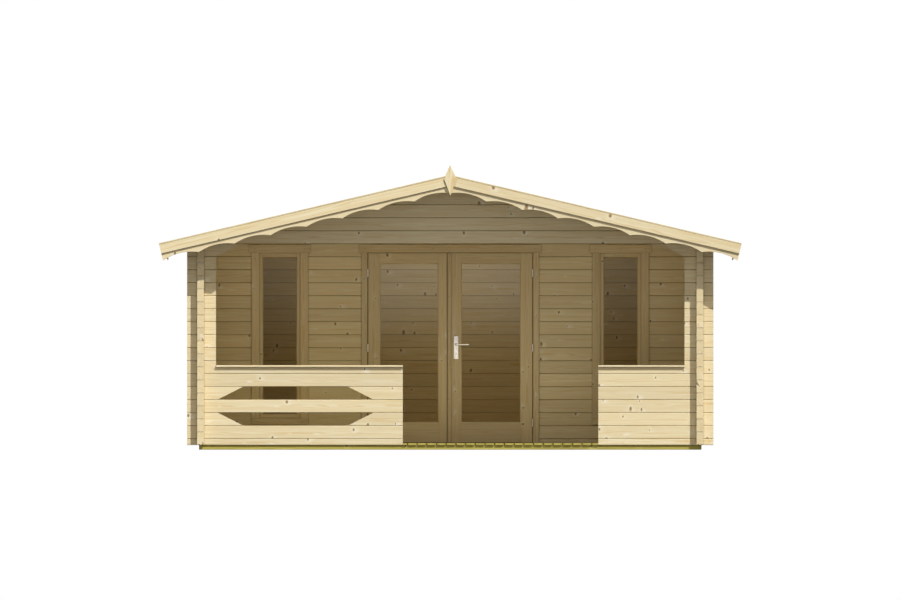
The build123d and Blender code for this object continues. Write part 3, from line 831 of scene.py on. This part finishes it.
# The felt. Mineral felt is rolled out along the roof from the eaves up, each strip lapped
# over the one below and nailed, folded down at the eaves and capped along the ridge.
felt_strip = 0.92
felt_lap = 0.08
felt_lift = 0.0028
felt_sheet = 0.0026
felt_rest = 0.0002
felt_wander = 0.0015
felt_ripple = 0.0006
felt_past_boards = 0.008
felt_fold = 0.03
cap_strip = 0.17
cap_bend = 0.02
cap_lift = 0.0004
cap_dip = 0.0015
felt_columns = 90
nail_pitch = 0.1
nail_inset = 0.02
nail_radius = 0.005
nail_from_front = 0.09
nail_from_rear = 0.05


def mineral_felt(name):
    """Bitumen felt with crushed slate rolled into it: charcoal, matt and speckled. Real
    grit is under a millimetre, so it is drawn three times as coarse to show."""
    grit = 0.003
    material, tree, surface = new_finish(name, "434445", 0.94)
    place = add(tree, "TexCoord").outputs["Object"]
    grains = add(tree, "TexVoronoi", {"Vector": place, "Scale": 1 / grit})
    lot = add(tree, "SeparateColor", grains.outputs["Color"]).outputs["Red"]
    wear_and_corner_shade = add(tree, "TexNoise", {"Vector": place, "Scale": 2.2, "Detail": 5.0,
                                  "Roughness": 0.62}).outputs["Fac"]
    wear_and_corner_shade = add(tree, "MapRange", wear_and_corner_shade, 0.3, 0.7, -0.16, 0.16)
    shade = add(tree, "Math MULTIPLY_ADD", lot, 0.75, wear_and_corner_shade, use_clamp=True)
    colour = add(tree, "Mix", {0: shade, 6: linear("303133"), 7: linear("606163")},
                 data_type="RGBA")
    tree.links.new(colour.outputs[2], surface.inputs["Base Color"])
    bump = add(tree, "Bump", {"Strength": 0.5, "Distance": 0.0008,
                              "Height": grains.outputs["Distance"]})
    tree.links.new(bump.outputs[0], surface.inputs["Normal"])
    return material


felt = (mineral_felt("mineral_felt"), "roofing_felt")


def felt_piece(points, axes):
    """A strip of felt: an outline of (along the slope, up), closed and as thick as the
    sheet, carried from verge to verge. Its edges wander by slow sines of the distance."""
    points = np.array(points, float)
    distance = np.linspace(boards_low.y, boards_high.y, felt_columns)[:, None]
    phases = luck.uniform(0, 6, 4)
    waver = sum(np.sin(distance * rate + phase)
                for rate, phase in zip((1.7, 3.1, 7.3, 12.1), phases)) / 4
    along = points[:, 0] + felt_wander * waver
    loose = points[:, 1] > points[:, 1].min() + felt_sheet / 2
    lift = points[:, 1] + felt_ripple * (waver + 1) * loose
    local = np.stack([along, np.broadcast_to(distance, along.shape), lift], axis=-1)
    made = local @ axes + (0, 0, top_apex)
    return made if np.linalg.det(axes) < 0 else made[:, ::-1]


felt_end = slope_length - eave_inset + felt_past_boards
for side, name in both_sides:
    axes = slope_axes(side)
    strips = []
    for number in range(math.ceil(felt_end / felt_strip)):
        lower = felt_end - number * felt_strip
        upper = max(lower - felt_strip - felt_lap, ridge_cut(board_top))
        base = board_top + (felt_lift if number else felt_rest)
        far = board_top + felt_rest
        outline = [(upper, far), (lower - felt_lap, far), (lower, base),
                   (lower, base + felt_sheet), (lower - felt_lap, far + felt_sheet),
                   (upper, far + felt_sheet)]
        if number == 0:
            outline[2:4] = [(lower - felt_sheet, base), (lower - felt_sheet, base - felt_fold),
                            (lower, base - felt_fold), (lower, base + felt_sheet)]
        strips.append({"points": felt_piece(outline, axes)})
    build(name + "_felt_strips", strips, felt, [name + "_roof_felt"])

ridge_base = board_top + felt_sheet + cap_lift
folds = []
for up in (ridge_base + felt_sheet, ridge_base):
    x = cap_strip * cosine + up * sine
    z = -cap_strip * sine + up * cosine
    bend = [(side * (cap_bend * cosine + up * sine), -cap_bend * sine + up * cosine)
            for side in (-1, 1)]
    row = [(-x, z), bend[0], (0.0, up / cosine - cap_dip), bend[1], (x, z)]
    folds += row if not folds else row[::-1]
ridge_felt = felt_piece(folds, across_x)
build("ridge_felt", [{"points": ridge_felt}], felt)

nail_rows = [felt_end - number * felt_strip - nail_inset
             for number in range(1, math.ceil(felt_end / felt_strip))]
nail_places = np.arange(boards_low.y + nail_from_front, boards_high.y - nail_from_rear,
                        nail_pitch)
nails = []
for side in (-1, 1):
    axes = slope_axes(side)
    for row in [*nail_rows, cap_strip - nail_inset]:
        up = board_top + felt_sheet + felt_lift
        places = np.stack([np.full(len(nail_places), row), nail_places,
                           np.full(len(nail_places), up)], axis=-1)
        nails += screws(places @ axes + (0, 0, top_apex), axes[2], nail_radius)
build("felt_nails", nails, zinc)

# The verge boards. Front and back, a fascia covers the ends of the roof boards, with a lath
# over its top edge. The front one has a second board behind it, sawn in hollow scallops.
verge_joint = 0.001
fascia_arris = 0.0025
scallop_arris = 0.002
scallop_count = 8
scallop_rise = 0.036
scallop_points = 14
fascia_low, fascia_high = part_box("fascia_boards")
scallop_low, scallop_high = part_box("scalloped_boards")
eave_low, eave_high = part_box("eave_boards")
finial_low, finial_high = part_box("finial")
fascia_height = 0.095
scallop_height = 0.17
lath_width = 0.06
eave_board_height = 0.154
eave_board_thickness = 0.016
fascia_thickness = 0.018


def verge_board(front, back, top, bottom, side, arris=fascia_arris):
    """A board down a slope, with its two ends cut upright at the ridge and square below."""
    section = eased([(front, bottom), (back, bottom), (back, top), (front, top)], arris)
    starts = ridge_cut(section[:, 1], verge_joint / 2)
    return timber(section, (starts, slope_length), slope_axes(side), (0, 0, top_apex),
                  (heart_offset, 0))


fascia_bottom = -lath_thickness - fascia_height
front_fascia = (fascia_low.y, fascia_low.y + fascia_thickness)
rear_fascia = (fascia_high.y - fascia_thickness, fascia_high.y)
build("sloping_fascias",
      [verge_board(*span, -lath_thickness, fascia_bottom, side)
       for side in (-1, 1) for span in (front_fascia, rear_fascia)],
      planed_pine, ["fascia_boards"])

# The laths are left rough from the saw, which makes them greyer than the planed boards.
sawn_spruce = softwood("sawn_spruce", "d5c69e", "bfa673", "9b8058", "75603f", "e6dcc4",
                       roughness=0.75, relief=0.5)
rough_pine = (sawn_spruce, "planed_pine")
build("sloping_laths",
      [verge_board(start, start + lath_width, 0.0, -lath_thickness, side)
       for side in (-1, 1) for start in (laths_low.y, laths_high.y - lath_width)],
      rough_pine, ["cap_laths"])


def scalloped(side):
    """The scalloped board: a plain section whose lower half rises in arcs of a circle. At a
    distance d from the middle of an arc, the rise is the height of a chord's bow there."""
    low = -lath_thickness - scallop_height
    section = eased([(scallop_low.y, low), (scallop_high.y, low),
                     (scallop_high.y, -lath_thickness), (scallop_low.y, -lath_thickness)],
                    scallop_arris)
    first = float(ridge_cut(low, verge_joint / 2))
    pitch = (slope_length - first) / scallop_count
    steps = np.arange(scallop_count * scallop_points + 1) * pitch / scallop_points
    bow = scallop_rise / 2 + pitch ** 2 / 8 / scallop_rise
    offset = (steps / pitch % 1 - 0.5) * pitch
    rise = np.sqrt(bow ** 2 - offset ** 2) - bow + scallop_rise
    lower_half = section[:, 1] < low + scallop_height / 2
    heights = section[:, 1] + rise[:, None] * lower_half
    stations = np.repeat((first + steps)[:, None], len(section), axis=1)
    stations[0] = ridge_cut(section[:, 1], verge_joint / 2)
    return timber(section, stations, slope_axes(side), (0, 0, top_apex), (heart_offset, 0),
                  heights)


build("sawn_scallops", [scalloped(-1), scalloped(1)], planed_pine, ["scalloped_boards"])

eave_start = slope_length - eave_inset - eave_board_thickness
eaves = []
for side in (-1, 1):
    corners = [(eave_start, board_bottom), (eave_start + eave_board_thickness, board_bottom),
               (eave_start + eave_board_thickness, board_bottom - eave_board_height),
               (eave_start, board_bottom - eave_board_height)]
    axes = slope_axes(side)
    eaves.append(timber(eased(corners, fascia_arris), (eave_low.y, eave_high.y),
                        axes[[1, 0, 2]], (0, 0, top_apex), (-heart_offset, 0)))
build("long_eave_boards", eaves, planed_pine, ["eave_boards"])

# The finial. A kite-shaped board with eased edges is screwed over the joint of the fascias.
finial_chamfer = 0.003
finial_shoulder = 0.042
finial_heart = (7.3, 0.01, 0.05)


def inset(outline, size):
    """A closed outline moved inwards: each corner by size over the cosine of its half turn,
    along the mean of its two edges' normals."""
    points = np.array(outline, float)
    forward = np.roll(points, -1, 0) - points
    forward /= np.linalg.norm(forward, axis=1, keepdims=True)
    normals = np.stack([-forward[:, 1], forward[:, 0]], axis=1)
    both = normals + np.roll(normals, 1, 0)
    return points + size * 2 * both / (both ** 2).sum(1, keepdims=True)


def plate(outline, layers):
    """A flat piece with an outline of x, z: one loop for each layer of (y, inset). Its
    grain runs up."""
    points = np.array([np.insert(inset(outline, size), 1, y, axis=1) for y, size in layers])
    points = points[:, ::-1]
    return {"points": points, "grain": points[..., (2, 0, 1)] + finial_heart,
            "tone": luck.uniform()}


kite = [(0, finial_low.z), (finial_high.x, top_apex - finial_shoulder), (0, finial_high.z),
        (finial_low.x, top_apex - finial_shoulder)]
build("kite_finial", [plate(kite, [(finial_low.y, finial_chamfer),
                                   (finial_low.y + finial_chamfer, 0.0),
                                   (finial_high.y, 0.0)])], planed_pine, ["finial"])

# The door frame. Jambs, head and threshold are rebated from one timber each, so that the
# leaves close against a stop, and are screwed to the ends of the logs.
leaf_low, leaf_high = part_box("right_door_stiles")
jamb_thickness = 0.04
stop_overlap = 0.013
stop_gap = 0.005
head_gap = 0.005
stop_height = 0.015
frame_arris = 0.0015
leaf_front, leaf_back = leaf_low.y, leaf_high.y
leaf_edge = leaf_high.x
jamb_outer = jamb_high.x
jamb_inner = jamb_outer - jamb_thickness
stop_edge = leaf_edge - stop_overlap
stop_front = leaf_back + stop_gap
head_bottom = leaf_high.z + head_gap
deck_top = deck_high.z

# Frames, doors and trims use a copy of the spruce made deeper and warmer: painted shade
# for the veranda's shadow that they stand in.
shade_darkened_spruce = softwood("shade_darkened_spruce", "e3d3ac", "d3b278", "a98a5b", "765c3e", "efe4cd")
shade_darkened_joinery = (shade_darkened_spruce, "planed_pine")

jambs = []
for side in (-1, 1):
    outline = [(jamb_outer, door_face), (jamb_inner, door_face), (jamb_inner, stop_front),
               (stop_edge, stop_front), (stop_edge, door_back), (jamb_outer, door_back)]
    outline = [(side * x, y) for x, y in outline]
    jambs.append(timber(eased(outline, frame_arris), (jamb_low.z, jamb_high.z), upright))
build("rebated_jambs", jambs, shade_darkened_joinery, ["door_jambs"])
head_outline = [(door_face, head_bottom), (stop_front, head_bottom),
                (stop_front, leaf_high.z - stop_overlap),
                (door_back, leaf_high.z - stop_overlap), (door_back, lintel),
                (door_face, lintel)]
sill_outline = [(door_face, base_top), (door_back, base_top),
                (door_back, deck_top + stop_height), (stop_front, deck_top + stop_height),
                (stop_front, deck_top), (door_face, deck_top)]
crossbars = []
for outline in (head_outline, sill_outline):
    outline = eased(outline, frame_arris)
    reach = np.where(outline[:, 0] > stop_front - frame_arris / 2, stop_edge, jamb_inner)
    crossbars.append(timber(outline, (-reach, reach), across_x))
build("rebated_head_and_threshold", crossbars, shade_darkened_joinery, ["door_head_and_threshold"])

# The trims. Planed boards with eased edges cover the joints between frames and logs: narrow
# ones up the sides, and a wider one with an overhang over each head. All are screwed on.
trim_arris = 0.003
head_trim_overhang = 0.025
head_trim_height = 0.085
sill_trim_height = 0.067
door_trim_width = 0.06
window_trim_width = 0.08
stile_face = 0.042
head_rail_face = 0.05
trim_screw_inset = 0.06
trim_screw_radius = 0.0036
glass_groove = 0.01
glass_half = 0.1715
window_low, window_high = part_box("window_glass")
window_centre = window_high.x - glass_groove - glass_half
window_half = glass_half + stile_face
trims_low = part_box("head_and_sill_trims")[0]
window_trim_bottom = trims_low.z + sill_trim_height
glass_bottom = window_low.z + glass_groove
glass_top = window_high.z - glass_groove
window_top = glass_top + head_rail_face
trim_front = trims_low.y

door_outer = jamb_inner + door_trim_width
window_reach = window_half + window_trim_width
uprights = [((jamb_inner, deck_top), (door_outer, head_bottom)),
            ((window_centre - window_reach, window_trim_bottom),
             (window_centre - window_half, window_top)),
            ((window_centre + window_half, window_trim_bottom),
             (window_centre + window_reach, window_top))]
across_trims = [((window_centre - window_reach - head_trim_overhang, window_top),
                 (window_centre + window_reach + head_trim_overhang,
                  window_top + head_trim_height)),
                ((window_centre - window_reach, window_trim_bottom - sill_trim_height),
                 (window_centre + window_reach, window_trim_bottom))]
door_head_trim = ((-door_outer - head_trim_overhang, head_bottom),
                  (door_outer + head_trim_overhang, head_bottom + head_trim_height))


def front_board(low, high, side, lengthwise):
    """A trim between two (x, z) corners, on the front of the wall, on one side of it."""
    left, right = sorted((side * low[0], side * high[0]))
    return box_timber((left, trim_front, low[1]), (right, door_face, high[1]), lengthwise,
                      trim_arris)


build("upright_trims", [front_board(*corners, side, 2) for side in (-1, 1)
                        for corners in uprights], shade_darkened_joinery, ["side_trims"])
build("head_and_sill_boards",
      [front_board(*corners, side, 0) for side in (-1, 1) for corners in across_trims]
      + [front_board(*door_head_trim, 1, 0)], shade_darkened_joinery, ["head_and_sill_trims"])

# Dark brown steel for the screw heads on the trims and the cover strip: dark, dull and uneven.
dark_screw_steel = (grained_metal("brown_screws", "5d4a30", 0.5, 0.3, 0.002, 0.2), "zinc_steel")

trim_screws = []
for (left, bottom), (right, top) in uprights:
    heights = np.linspace(bottom + trim_screw_inset, top - trim_screw_inset, 4)
    trim_screws += [(side * (left + right) / 2, trim_front, z) for z in heights
                    for side in (-1, 1)]
for (left, bottom), (right, top) in [*across_trims, door_head_trim]:
    places = np.linspace(left + trim_screw_inset, right - trim_screw_inset,
                         3 if left > 0 else 6)
    trim_screws += [(side * x, trim_front, (bottom + top) / 2) for x in places
                    for side in ((-1, 1) if left > 0 else (1,))]
build("trim_screws", screws(trim_screws, (0, -1, 0), trim_screw_radius), dark_screw_steel)

# The windows. Each fixed frame has stiles from top to bottom with rails between them, and
# quarter-round beads, mitred and pinned, hold the pane from both sides.
bead = 0.009
bead_steps = 4
bead_setback = 0.002
stile_low, stile_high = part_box("window_stiles")
frame_half = stile_high.x - window_centre


def bead_section(depth):
    """Quarter-round bead: from the pane's edge out to the frame, and up to depth, with an
    elliptical face at even angles from one to the other."""
    turn = np.linspace(0, math.pi / 2, bead_steps + 1)
    curve = np.stack([bead * (1 - np.cos(turn)), depth * np.sin(turn)], axis=-1)
    return np.array([(bead, 0.0), (0.0, 0.0), *curve[1:]])


def beads(left, right, bottom, top, pane_face, depth, outward):
    """Four mitred beads round a pane. Each runs along one side, and every point of its
    section stops short of the corners by its own distance from the pane's edge."""
    made = []
    section = bead_section(depth)
    middle = ((left + right) / 2, (bottom + top) / 2)
    half = ((right - left) / 2, (top - bottom) / 2)
    for number in range(4):
        turn = number * math.pi / 2
        along = np.array([round(math.cos(turn)), 0.0, round(math.sin(turn))])
        out = np.array([round(math.sin(turn)), 0.0, -round(math.cos(turn))])
        reach = half[number % 2] + section[:, 0]
        axes = np.array([along, out, (0, outward, 0)])
        at = np.array([middle[0], pane_face, middle[1]]) + out * half[1 - number % 2]
        made.append(timber(section, (-reach, reach), axes, at))
    return made


def glazed_frame(outline, glass, front, back, pane):
    """Stiles, rails and beads. The outline and the glass are (left, right, bottom, top), and
    the pane is its front and back."""
    left, right, bottom, top = outline
    inner = np.array(glass) + (-bead, bead, -bead, bead)
    stiles = [box_timber((left, front, bottom), (inner[0], back, top), 2, frame_arris),
              box_timber((inner[1], front, bottom), (right, back, top), 2, frame_arris)]
    rails = [box_timber((inner[0], front, bottom), (inner[1], back, inner[2]), 0,
                        frame_arris),
             box_timber((inner[0], front, inner[3]), (inner[1], back, top), 0, frame_arris)]
    rounds = [*beads(*glass, pane[0], pane[0] - front - bead_setback, -1),
              *beads(*glass, pane[1], back - pane[1] - bead_setback, 1)]
    return stiles, rails, rounds


window_parts = ([], [], [])
for side in (-1, 1):
    middle = side * window_centre
    outline = (middle - frame_half, middle + frame_half, stile_low.z, lintel)
    glass = (middle - glass_half, middle + glass_half, glass_bottom, glass_top)
    for group, parts in zip(window_parts, glazed_frame(outline, glass, door_face, door_back,
                                                       (window_low.y, window_high.y))):
        group.extend(parts)
for name, parts in zip(("stiles", "rails"), window_parts):
    build("window_frame_" + name, parts, shade_darkened_joinery, ["window_" + name])
build("window_beads", window_parts[2], shade_darkened_joinery, smooth=35)

# The doors. Each leaf has two full-height stiles with a top and a deep bottom rail between
# them, and one pane behind the same beads as the windows have.
for side in ("left", "right"):
    body = side + "_door"
    low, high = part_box(body + "_stiles")
    pane_low, pane_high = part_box(body + "_glass")
    outline = (low.x, high.x, low.z, high.z)
    glass = (pane_low.x + glass_groove, pane_high.x - glass_groove,
             pane_low.z + glass_groove, pane_high.z - glass_groove)
    stiles, rails, rounds = glazed_frame(outline, glass, low.y, high.y,
                                         (pane_low.y, pane_high.y))
    for name, parts in (("_stiles", stiles), ("_rails", rails)):
        build(body + "_planed" + name, parts, shade_darkened_joinery, [body + name], body)
    build(body + "_beads", rounds, shade_darkened_joinery, body=body, smooth=35)

# A strip behind the left leaf's meeting stile is the stop that the right leaf closes
# against. The rounded cover strip on the right leaf hides the joint in front.
rebate_width = 0.042
rebate_thickness = 0.008
rebate_clearance = 0.006
strip_screw_inset = 0.1
left_leaf_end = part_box("left_door_stiles")[1].x
rebate_start = left_leaf_end - rebate_width / 2
build("rebate_strip",
      [box_timber((rebate_start, leaf_back, deck_top + stop_height + rebate_clearance),
                  (rebate_start + rebate_width, leaf_back + rebate_thickness,
                   leaf_high.z - stop_overlap - rebate_clearance), 2, frame_arris)],
      shade_darkened_joinery, body="left_door")

strip_low, strip_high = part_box("cover_strip")
build("rounded_cover_strip", [box_timber(strip_low, strip_high, 2, trim_arris)],
      shade_darkened_joinery, ["cover_strip"], "right_door")
strip_screws = [((strip_low.x + strip_high.x) / 2, strip_low.y, z)
                for z in np.linspace(strip_low.z + strip_screw_inset,
                                     strip_high.z - strip_screw_inset, 6)]
build("cover_strip_screws", screws(strip_screws, (0, -1, 0), trim_screw_radius),
      dark_screw_steel, body="right_door")

# The hinges. Lift-off hinges of zinc-plated steel: a turned knuckle with a pin on the frame
# and another, on the leaf, that drops over it. Each has a plate let into the edge.
knuckle_radius = 0.008
knuckle_height = 0.04
knuckle_round = 0.0014
knuckle_gap = 0.0004
knuckle_dome = 0.002
hinge_plate_arris = 0.0004
hinge_plate_thickness = 0.0025
hinge_plate_depth = 0.03
leaf_hinge_low, leaf_hinge_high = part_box("right_door_hinges")
frame_hinge_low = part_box("frame_hinges")[0]
hinge_axis_x = leaf_hinge_high.x - knuckle_radius
hinge_axis_y = leaf_hinge_low.y + knuckle_radius
lowest_joint = frame_hinge_low.z + knuckle_height
highest_joint = leaf_hinge_high.z - knuckle_height - knuckle_gap
hinge_joints = np.linspace(lowest_joint, highest_joint, 3)


def knuckle(x, bottom, domed_top):
    """A knuckle: a barrel with rounded rims, and a low dome over the end that shows."""
    radius, rim = knuckle_radius, knuckle_round
    dome = [(0.75 * radius, knuckle_height + 0.6 * knuckle_dome)] if domed_top else []
    crown = (0.3 * radius, knuckle_height + (knuckle_dome if domed_top else 0))
    profile = [(0.3 * radius, 0), (radius - rim, 0), (radius, rim),
               (radius, knuckle_height - rim), (radius - rim, knuckle_height), *dome, crown]
    return turned(profile, (x, hinge_axis_y, bottom), (0, 0, 1), 20)


def half_hinge(side, joint, on_leaf):
    """One half of a hinge: its knuckle and its plate, on the leaf or on the frame."""
    bottom = joint + knuckle_gap if on_leaf else joint - knuckle_height
    face = leaf_edge if on_leaf else jamb_inner - hinge_plate_thickness
    left, right = sorted((side * face, side * (face + hinge_plate_thickness)))
    return [knuckle(side * hinge_axis_x, bottom, on_leaf),
            box_timber((left, hinge_axis_y, bottom),
                       (right, leaf_front + hinge_plate_depth, bottom + knuckle_height), 2,
                       hinge_plate_arris)]


for side, name in ((-1, "left_door"), (1, "right_door")):
    build(name + "_knuckles", [part for joint in hinge_joints
                               for part in half_hinge(side, joint, True)],
          zinc, [name + "_hinges"], name, smooth=40)
build("frame_knuckles", [part for side in (-1, 1) for joint in hinge_joints
                         for part in half_hinge(side, joint, False)],
      zinc, ["frame_hinges"], smooth=40)

# The lock furniture. A long plate of satin stainless steel is screwed to each face of the
# lock stile, with a flat lever on a turned neck and a cylinder with its keyhole below.
handle_low, handle_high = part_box("handle_plates")
lever_low, lever_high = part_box("lever_handle")
plate_corner = 0.004
plate_round = 0.0012
plate_screw_inset = 0.014
plate_screw_radius = 0.0035
neck_radius = 0.009
neck_waist = 0.0075
neck_head = 0.0085
lever_width = 0.012
lever_thickness = 0.012
lever_spindle = (lever_low.z + lever_high.z) / 2
lever_round = 0.0022
plate_x = (handle_low.x + handle_high.x) / 2
cylinder_drop = 0.098
cylinder_profile = [(0.0085, -0.002), (0.0085, 0.0022), (0.0078, 0.003), (0.003, 0.003)]
bush_profile = [(0.0125, -0.001), (0.0125, 0.0014), (0.0118, 0.002), (0.009, 0.002)]
keyhole_width = 0.0022
keyhole_height = 0.009
keyhole_corner = 0.001
keyhole_out = 0.0032
corner_steps = 4


def brushed_steel(name):
    """Stainless steel rubbed one way with a fine belt: bright, with a soft gloss. The lines
    are a third of a millimetre apart, and run across the plates."""
    steel = "fbf4e6"
    material, tree, surface = new_finish(name, steel, 0.27, 1.0)
    place = add(tree, "TexCoord").outputs["Object"]
    lines = add(tree, "VectorMath MULTIPLY", place, (60, 60, 3000))
    brushing = add(tree, "TexNoise", {"Vector": lines, "Scale": 1.0, "Detail": 2.0})
    gloss = add(tree, "MapRange", brushing, 0.3, 0.7, 0.23, 0.31)
    tree.links.new(gloss.outputs[0], surface.inputs["Roughness"])
    bright = add(tree, "MapRange", brushing, 0.3, 0.7, 0.93, 1.04)
    tint = add(tree, "HueSaturation", {"Color": linear(steel), "Value": bright})
    tree.links.new(tint.outputs[0], surface.inputs["Base Color"])
    return material


satin = (brushed_steel("satin_steel"), "satin_steel")

# Black nylon, as on the lever's bush: dull and even. The same black stands in each keyhole
# as painted shade for its hollow.
nylon_and_keyhole_shade = (grained_metal("black_nylon_and_keyhole_shade", "141312", 0.6, 0.0, 0.002, 0.2), "satin_steel")


def rounded(left, right, bottom, top, radius):
    """A rectangle with round corners: a quarter circle of even steps at each."""
    turn = np.linspace(0, math.pi / 2, corner_steps + 1)
    corners = [(right - radius, top - radius), (left + radius, top - radius),
               (left + radius, bottom + radius), (right - radius, bottom + radius)]
    return np.concatenate([np.array(corner) + radius * np.stack(
        [np.cos(turn + number * math.pi / 2), np.sin(turn + number * math.pi / 2)], axis=-1)
        for number, corner in enumerate(corners)])


def steel_slab(outline, layers):
    """A slab of steel with an outline of x, z: a loop for each layer of (y, inset)."""
    points = plate(outline, layers)["points"]
    return {"points": points if layers[0][0] < layers[-1][0] else points[:, ::-1]}


def rounded_layers(outer, inner, size):
    """Layers of a slab from its outer face in: the rim is a quarter round of three steps."""
    way = math.copysign(1, inner - outer)
    steps = [(outer + way * size * (1 - math.sin(a)), size * (1 - math.cos(a)))
             for a in (math.pi / 2, math.pi / 3, math.pi / 6, 0.0)]
    return [*steps, (inner, 0.0)]


plates = []
for face, back in ((handle_low.y, leaf_front), (handle_high.y, leaf_back)):
    outline = rounded(handle_low.x, handle_high.x, handle_low.z, handle_high.z, plate_corner)
    plates.append(steel_slab(outline, rounded_layers(face, back, plate_round)))
build("steel_plates", plates, satin, ["handle_plates"], "right_door", smooth=35)

furniture_faces = ((handle_low.y, -1), (handle_high.y, 1))
cylinders = []
keyholes = []
plate_screws = []
for face, way in furniture_faces:
    lock_z = lever_spindle - cylinder_drop
    cylinders.append(turned(cylinder_profile, (plate_x, face, lock_z), (0, way, 0), 24))
    # Each keyhole is a thin black slab just proud of the cylinder's face: painted shade for the
    # hollow.
    keyhole = rounded(plate_x - keyhole_width / 2, plate_x + keyhole_width / 2,
                      lock_z - keyhole_height / 2, lock_z + keyhole_height / 2,
                      keyhole_corner)
    keyholes.append(steel_slab(keyhole, [(face + way * keyhole_out, 0.0), (face, 0.0)]))
    plate_screws += screws([(plate_x, face, handle_low.z + plate_screw_inset),
                            (plate_x, face, handle_high.z - plate_screw_inset)],
                           (0, way, 0), plate_screw_radius)
    keyholes.append(turned(bush_profile, (plate_x, face, lever_spindle), (0, way, 0), 28))
build("lock_cylinders", cylinders, satin, body="right_door", smooth=40)
build("keyholes_and_bushes", keyholes, nylon_and_keyhole_shade, body="right_door")
build("plate_screws", plate_screws, satin, body="right_door")

lever_parts = []
for face, way in furniture_faces:
    tip = lever_low.y if way < 0 else lever_high.y
    inner = tip - way * lever_thickness
    neck = abs(inner - face)
    lever_parts.append(turned([(neck_radius, 0.0003), (neck_radius, 0.004),
                               (neck_waist, 0.008), (neck_waist, neck - 0.004),
                               (neck_head, neck + 0.001)],
                              (plate_x, face, lever_spindle), (0, way, 0), 24))
    outline = rounded(lever_low.x, lever_high.x, lever_spindle - lever_width / 2,
                      lever_spindle + lever_width / 2, lever_width / 2 - 0.0003)
    half = rounded_layers(tip, inner, lever_round)[:-1]
    lever_parts.append(steel_slab(outline, [*half, *[(inner + tip - y, size)
                                                     for y, size in half[::-1]]]))
build("flat_lever", lever_parts, satin, ["lever_handle"], "lever", smooth=40)

# The panes. Clear float glass, with its edges out of sight in the grooves. A dim card far in
# front gives it something to reflect. One soft lamp lights the room behind it, and another
# the wall from the veranda, in place of daylight thrown back from outside.
lamp_power = 6.8
lamp_colour = (1.0, 0.93, 0.8)
lamp_width = 1.8
lamp_height = 0.3
lamp_tilt = 80
lamp_reach = 1.7
veranda_power = 0.8
veranda_colour = (1.0, 0.92, 0.76)
veranda_width = 3.4
veranda_height = 0.15
veranda_drop = 0.35
card_distance = 40.0
card_half = 3.0
card_over_wall = 0.2
card_rows = 24
card_dusk = (0.9, 1.9)
card_fade = (1.0, 1.4)
card_colours = ((0.25, 0.15, 0.06, 1), (1.1, 1.07, 1.03, 1))


def float_glass(name):
    """Clear glass: what is behind shows through it, a little green-brown, under the gloss
    of its surface, which grows towards a grazing view. It is very slightly wavy."""
    material, tree, surface = new_finish(name, "f4f6f4", 0.03, 1.0)
    place = add(tree, "TexCoord").outputs["Object"]
    roll = add(tree, "VectorMath MULTIPLY", place, (1.7, 1.7, 0.8))
    wave = add(tree, "TexNoise", {"Vector": roll, "Scale": 1.0, "Detail": 0.0})
    bump = add(tree, "Bump", {"Strength": 0.03, "Distance": 0.02, "Height": wave})
    tree.links.new(bump.outputs[0], surface.inputs["Normal"])
    clear = add(tree, "BsdfTransparent", linear("f2efe4"))
    fresnel = add(tree, "Fresnel", {"IOR": 1.5})
    both = add(tree, "MixShader", fresnel, clear, surface)
    tree.links.new(both.outputs[0], tree.nodes["Material Output"].inputs["Surface"])
    return material


def soft_lamp(name, place, tilt, power, colour, width, height):
    """A rectangular lamp, turned up from straight down by tilt, that only lights the wood:
    the camera and the gloss on the panes don't see it."""
    lamp = new_object(name, bpy.data.lights.new(name, "AREA"))
    lamp.data.energy = power
    lamp.data.color = colour
    lamp.data.shape = "RECTANGLE"
    lamp.data.size = width
    lamp.data.size_y = height
    lamp.location = place
    lamp.rotation_euler = (math.radians(tilt), 0, 0)
    lamp.visible_camera = False
    lamp.visible_glossy = False


soft_lamp("room_lamp", (0, rear_low.y - lamp_reach, side_top), lamp_tilt, lamp_power,
          lamp_colour, lamp_width, lamp_height)
soft_lamp("veranda_lamp", (0, front_back + veranda_height, side_top - veranda_drop), 90,
          veranda_power, veranda_colour, veranda_width, veranda_height)

card_mesh = bpy.data.meshes.new("reflection_card")
rows = np.linspace(0, side_top + card_over_wall, card_rows)
corners = np.array([[(-card_half, -card_distance, z), (card_half, -card_distance, z)]
                    for z in rows]).reshape(-1, 3)
first = 2 * np.arange(card_rows - 1)[:, None]
card_mesh.from_pydata(corners, [], (first + (0, 2, 3, 1)).tolist())
card = new_object("reflection_card", card_mesh)
card.visible_camera = False
card.visible_diffuse = False
card.visible_shadow = False
card.visible_transmission = False
card_finish, tree, surface = new_finish("card_glow", "000000", 1.0)
place = add(tree, "SeparateXYZ", add(tree, "TexCoord").outputs["Object"])
rise = add(tree, "MapRange", place.outputs["Z"], *card_dusk,
           interpolation_type="SMOOTHSTEP")
aside = add(tree, "Math ABSOLUTE", place.outputs["X"])
strength = add(tree, "MapRange", aside, *card_fade, 1.0, 0.4)
glow = add(tree, "Mix", {0: rise, 6: card_colours[0], 7: card_colours[1]},
           data_type="RGBA")
shine = add(tree, "Emission", glow.outputs[2], strength)
tree.links.new(shine.outputs[0], tree.nodes["Material Output"].inputs["Surface"])
card_mesh.materials.append(card_finish)

window_glass = float_glass("clear_float_glass")
for node in ("window_glass", "left_door_glass", "right_door_glass"):
    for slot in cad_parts[node].material_slots:
        slot.material = window_glass
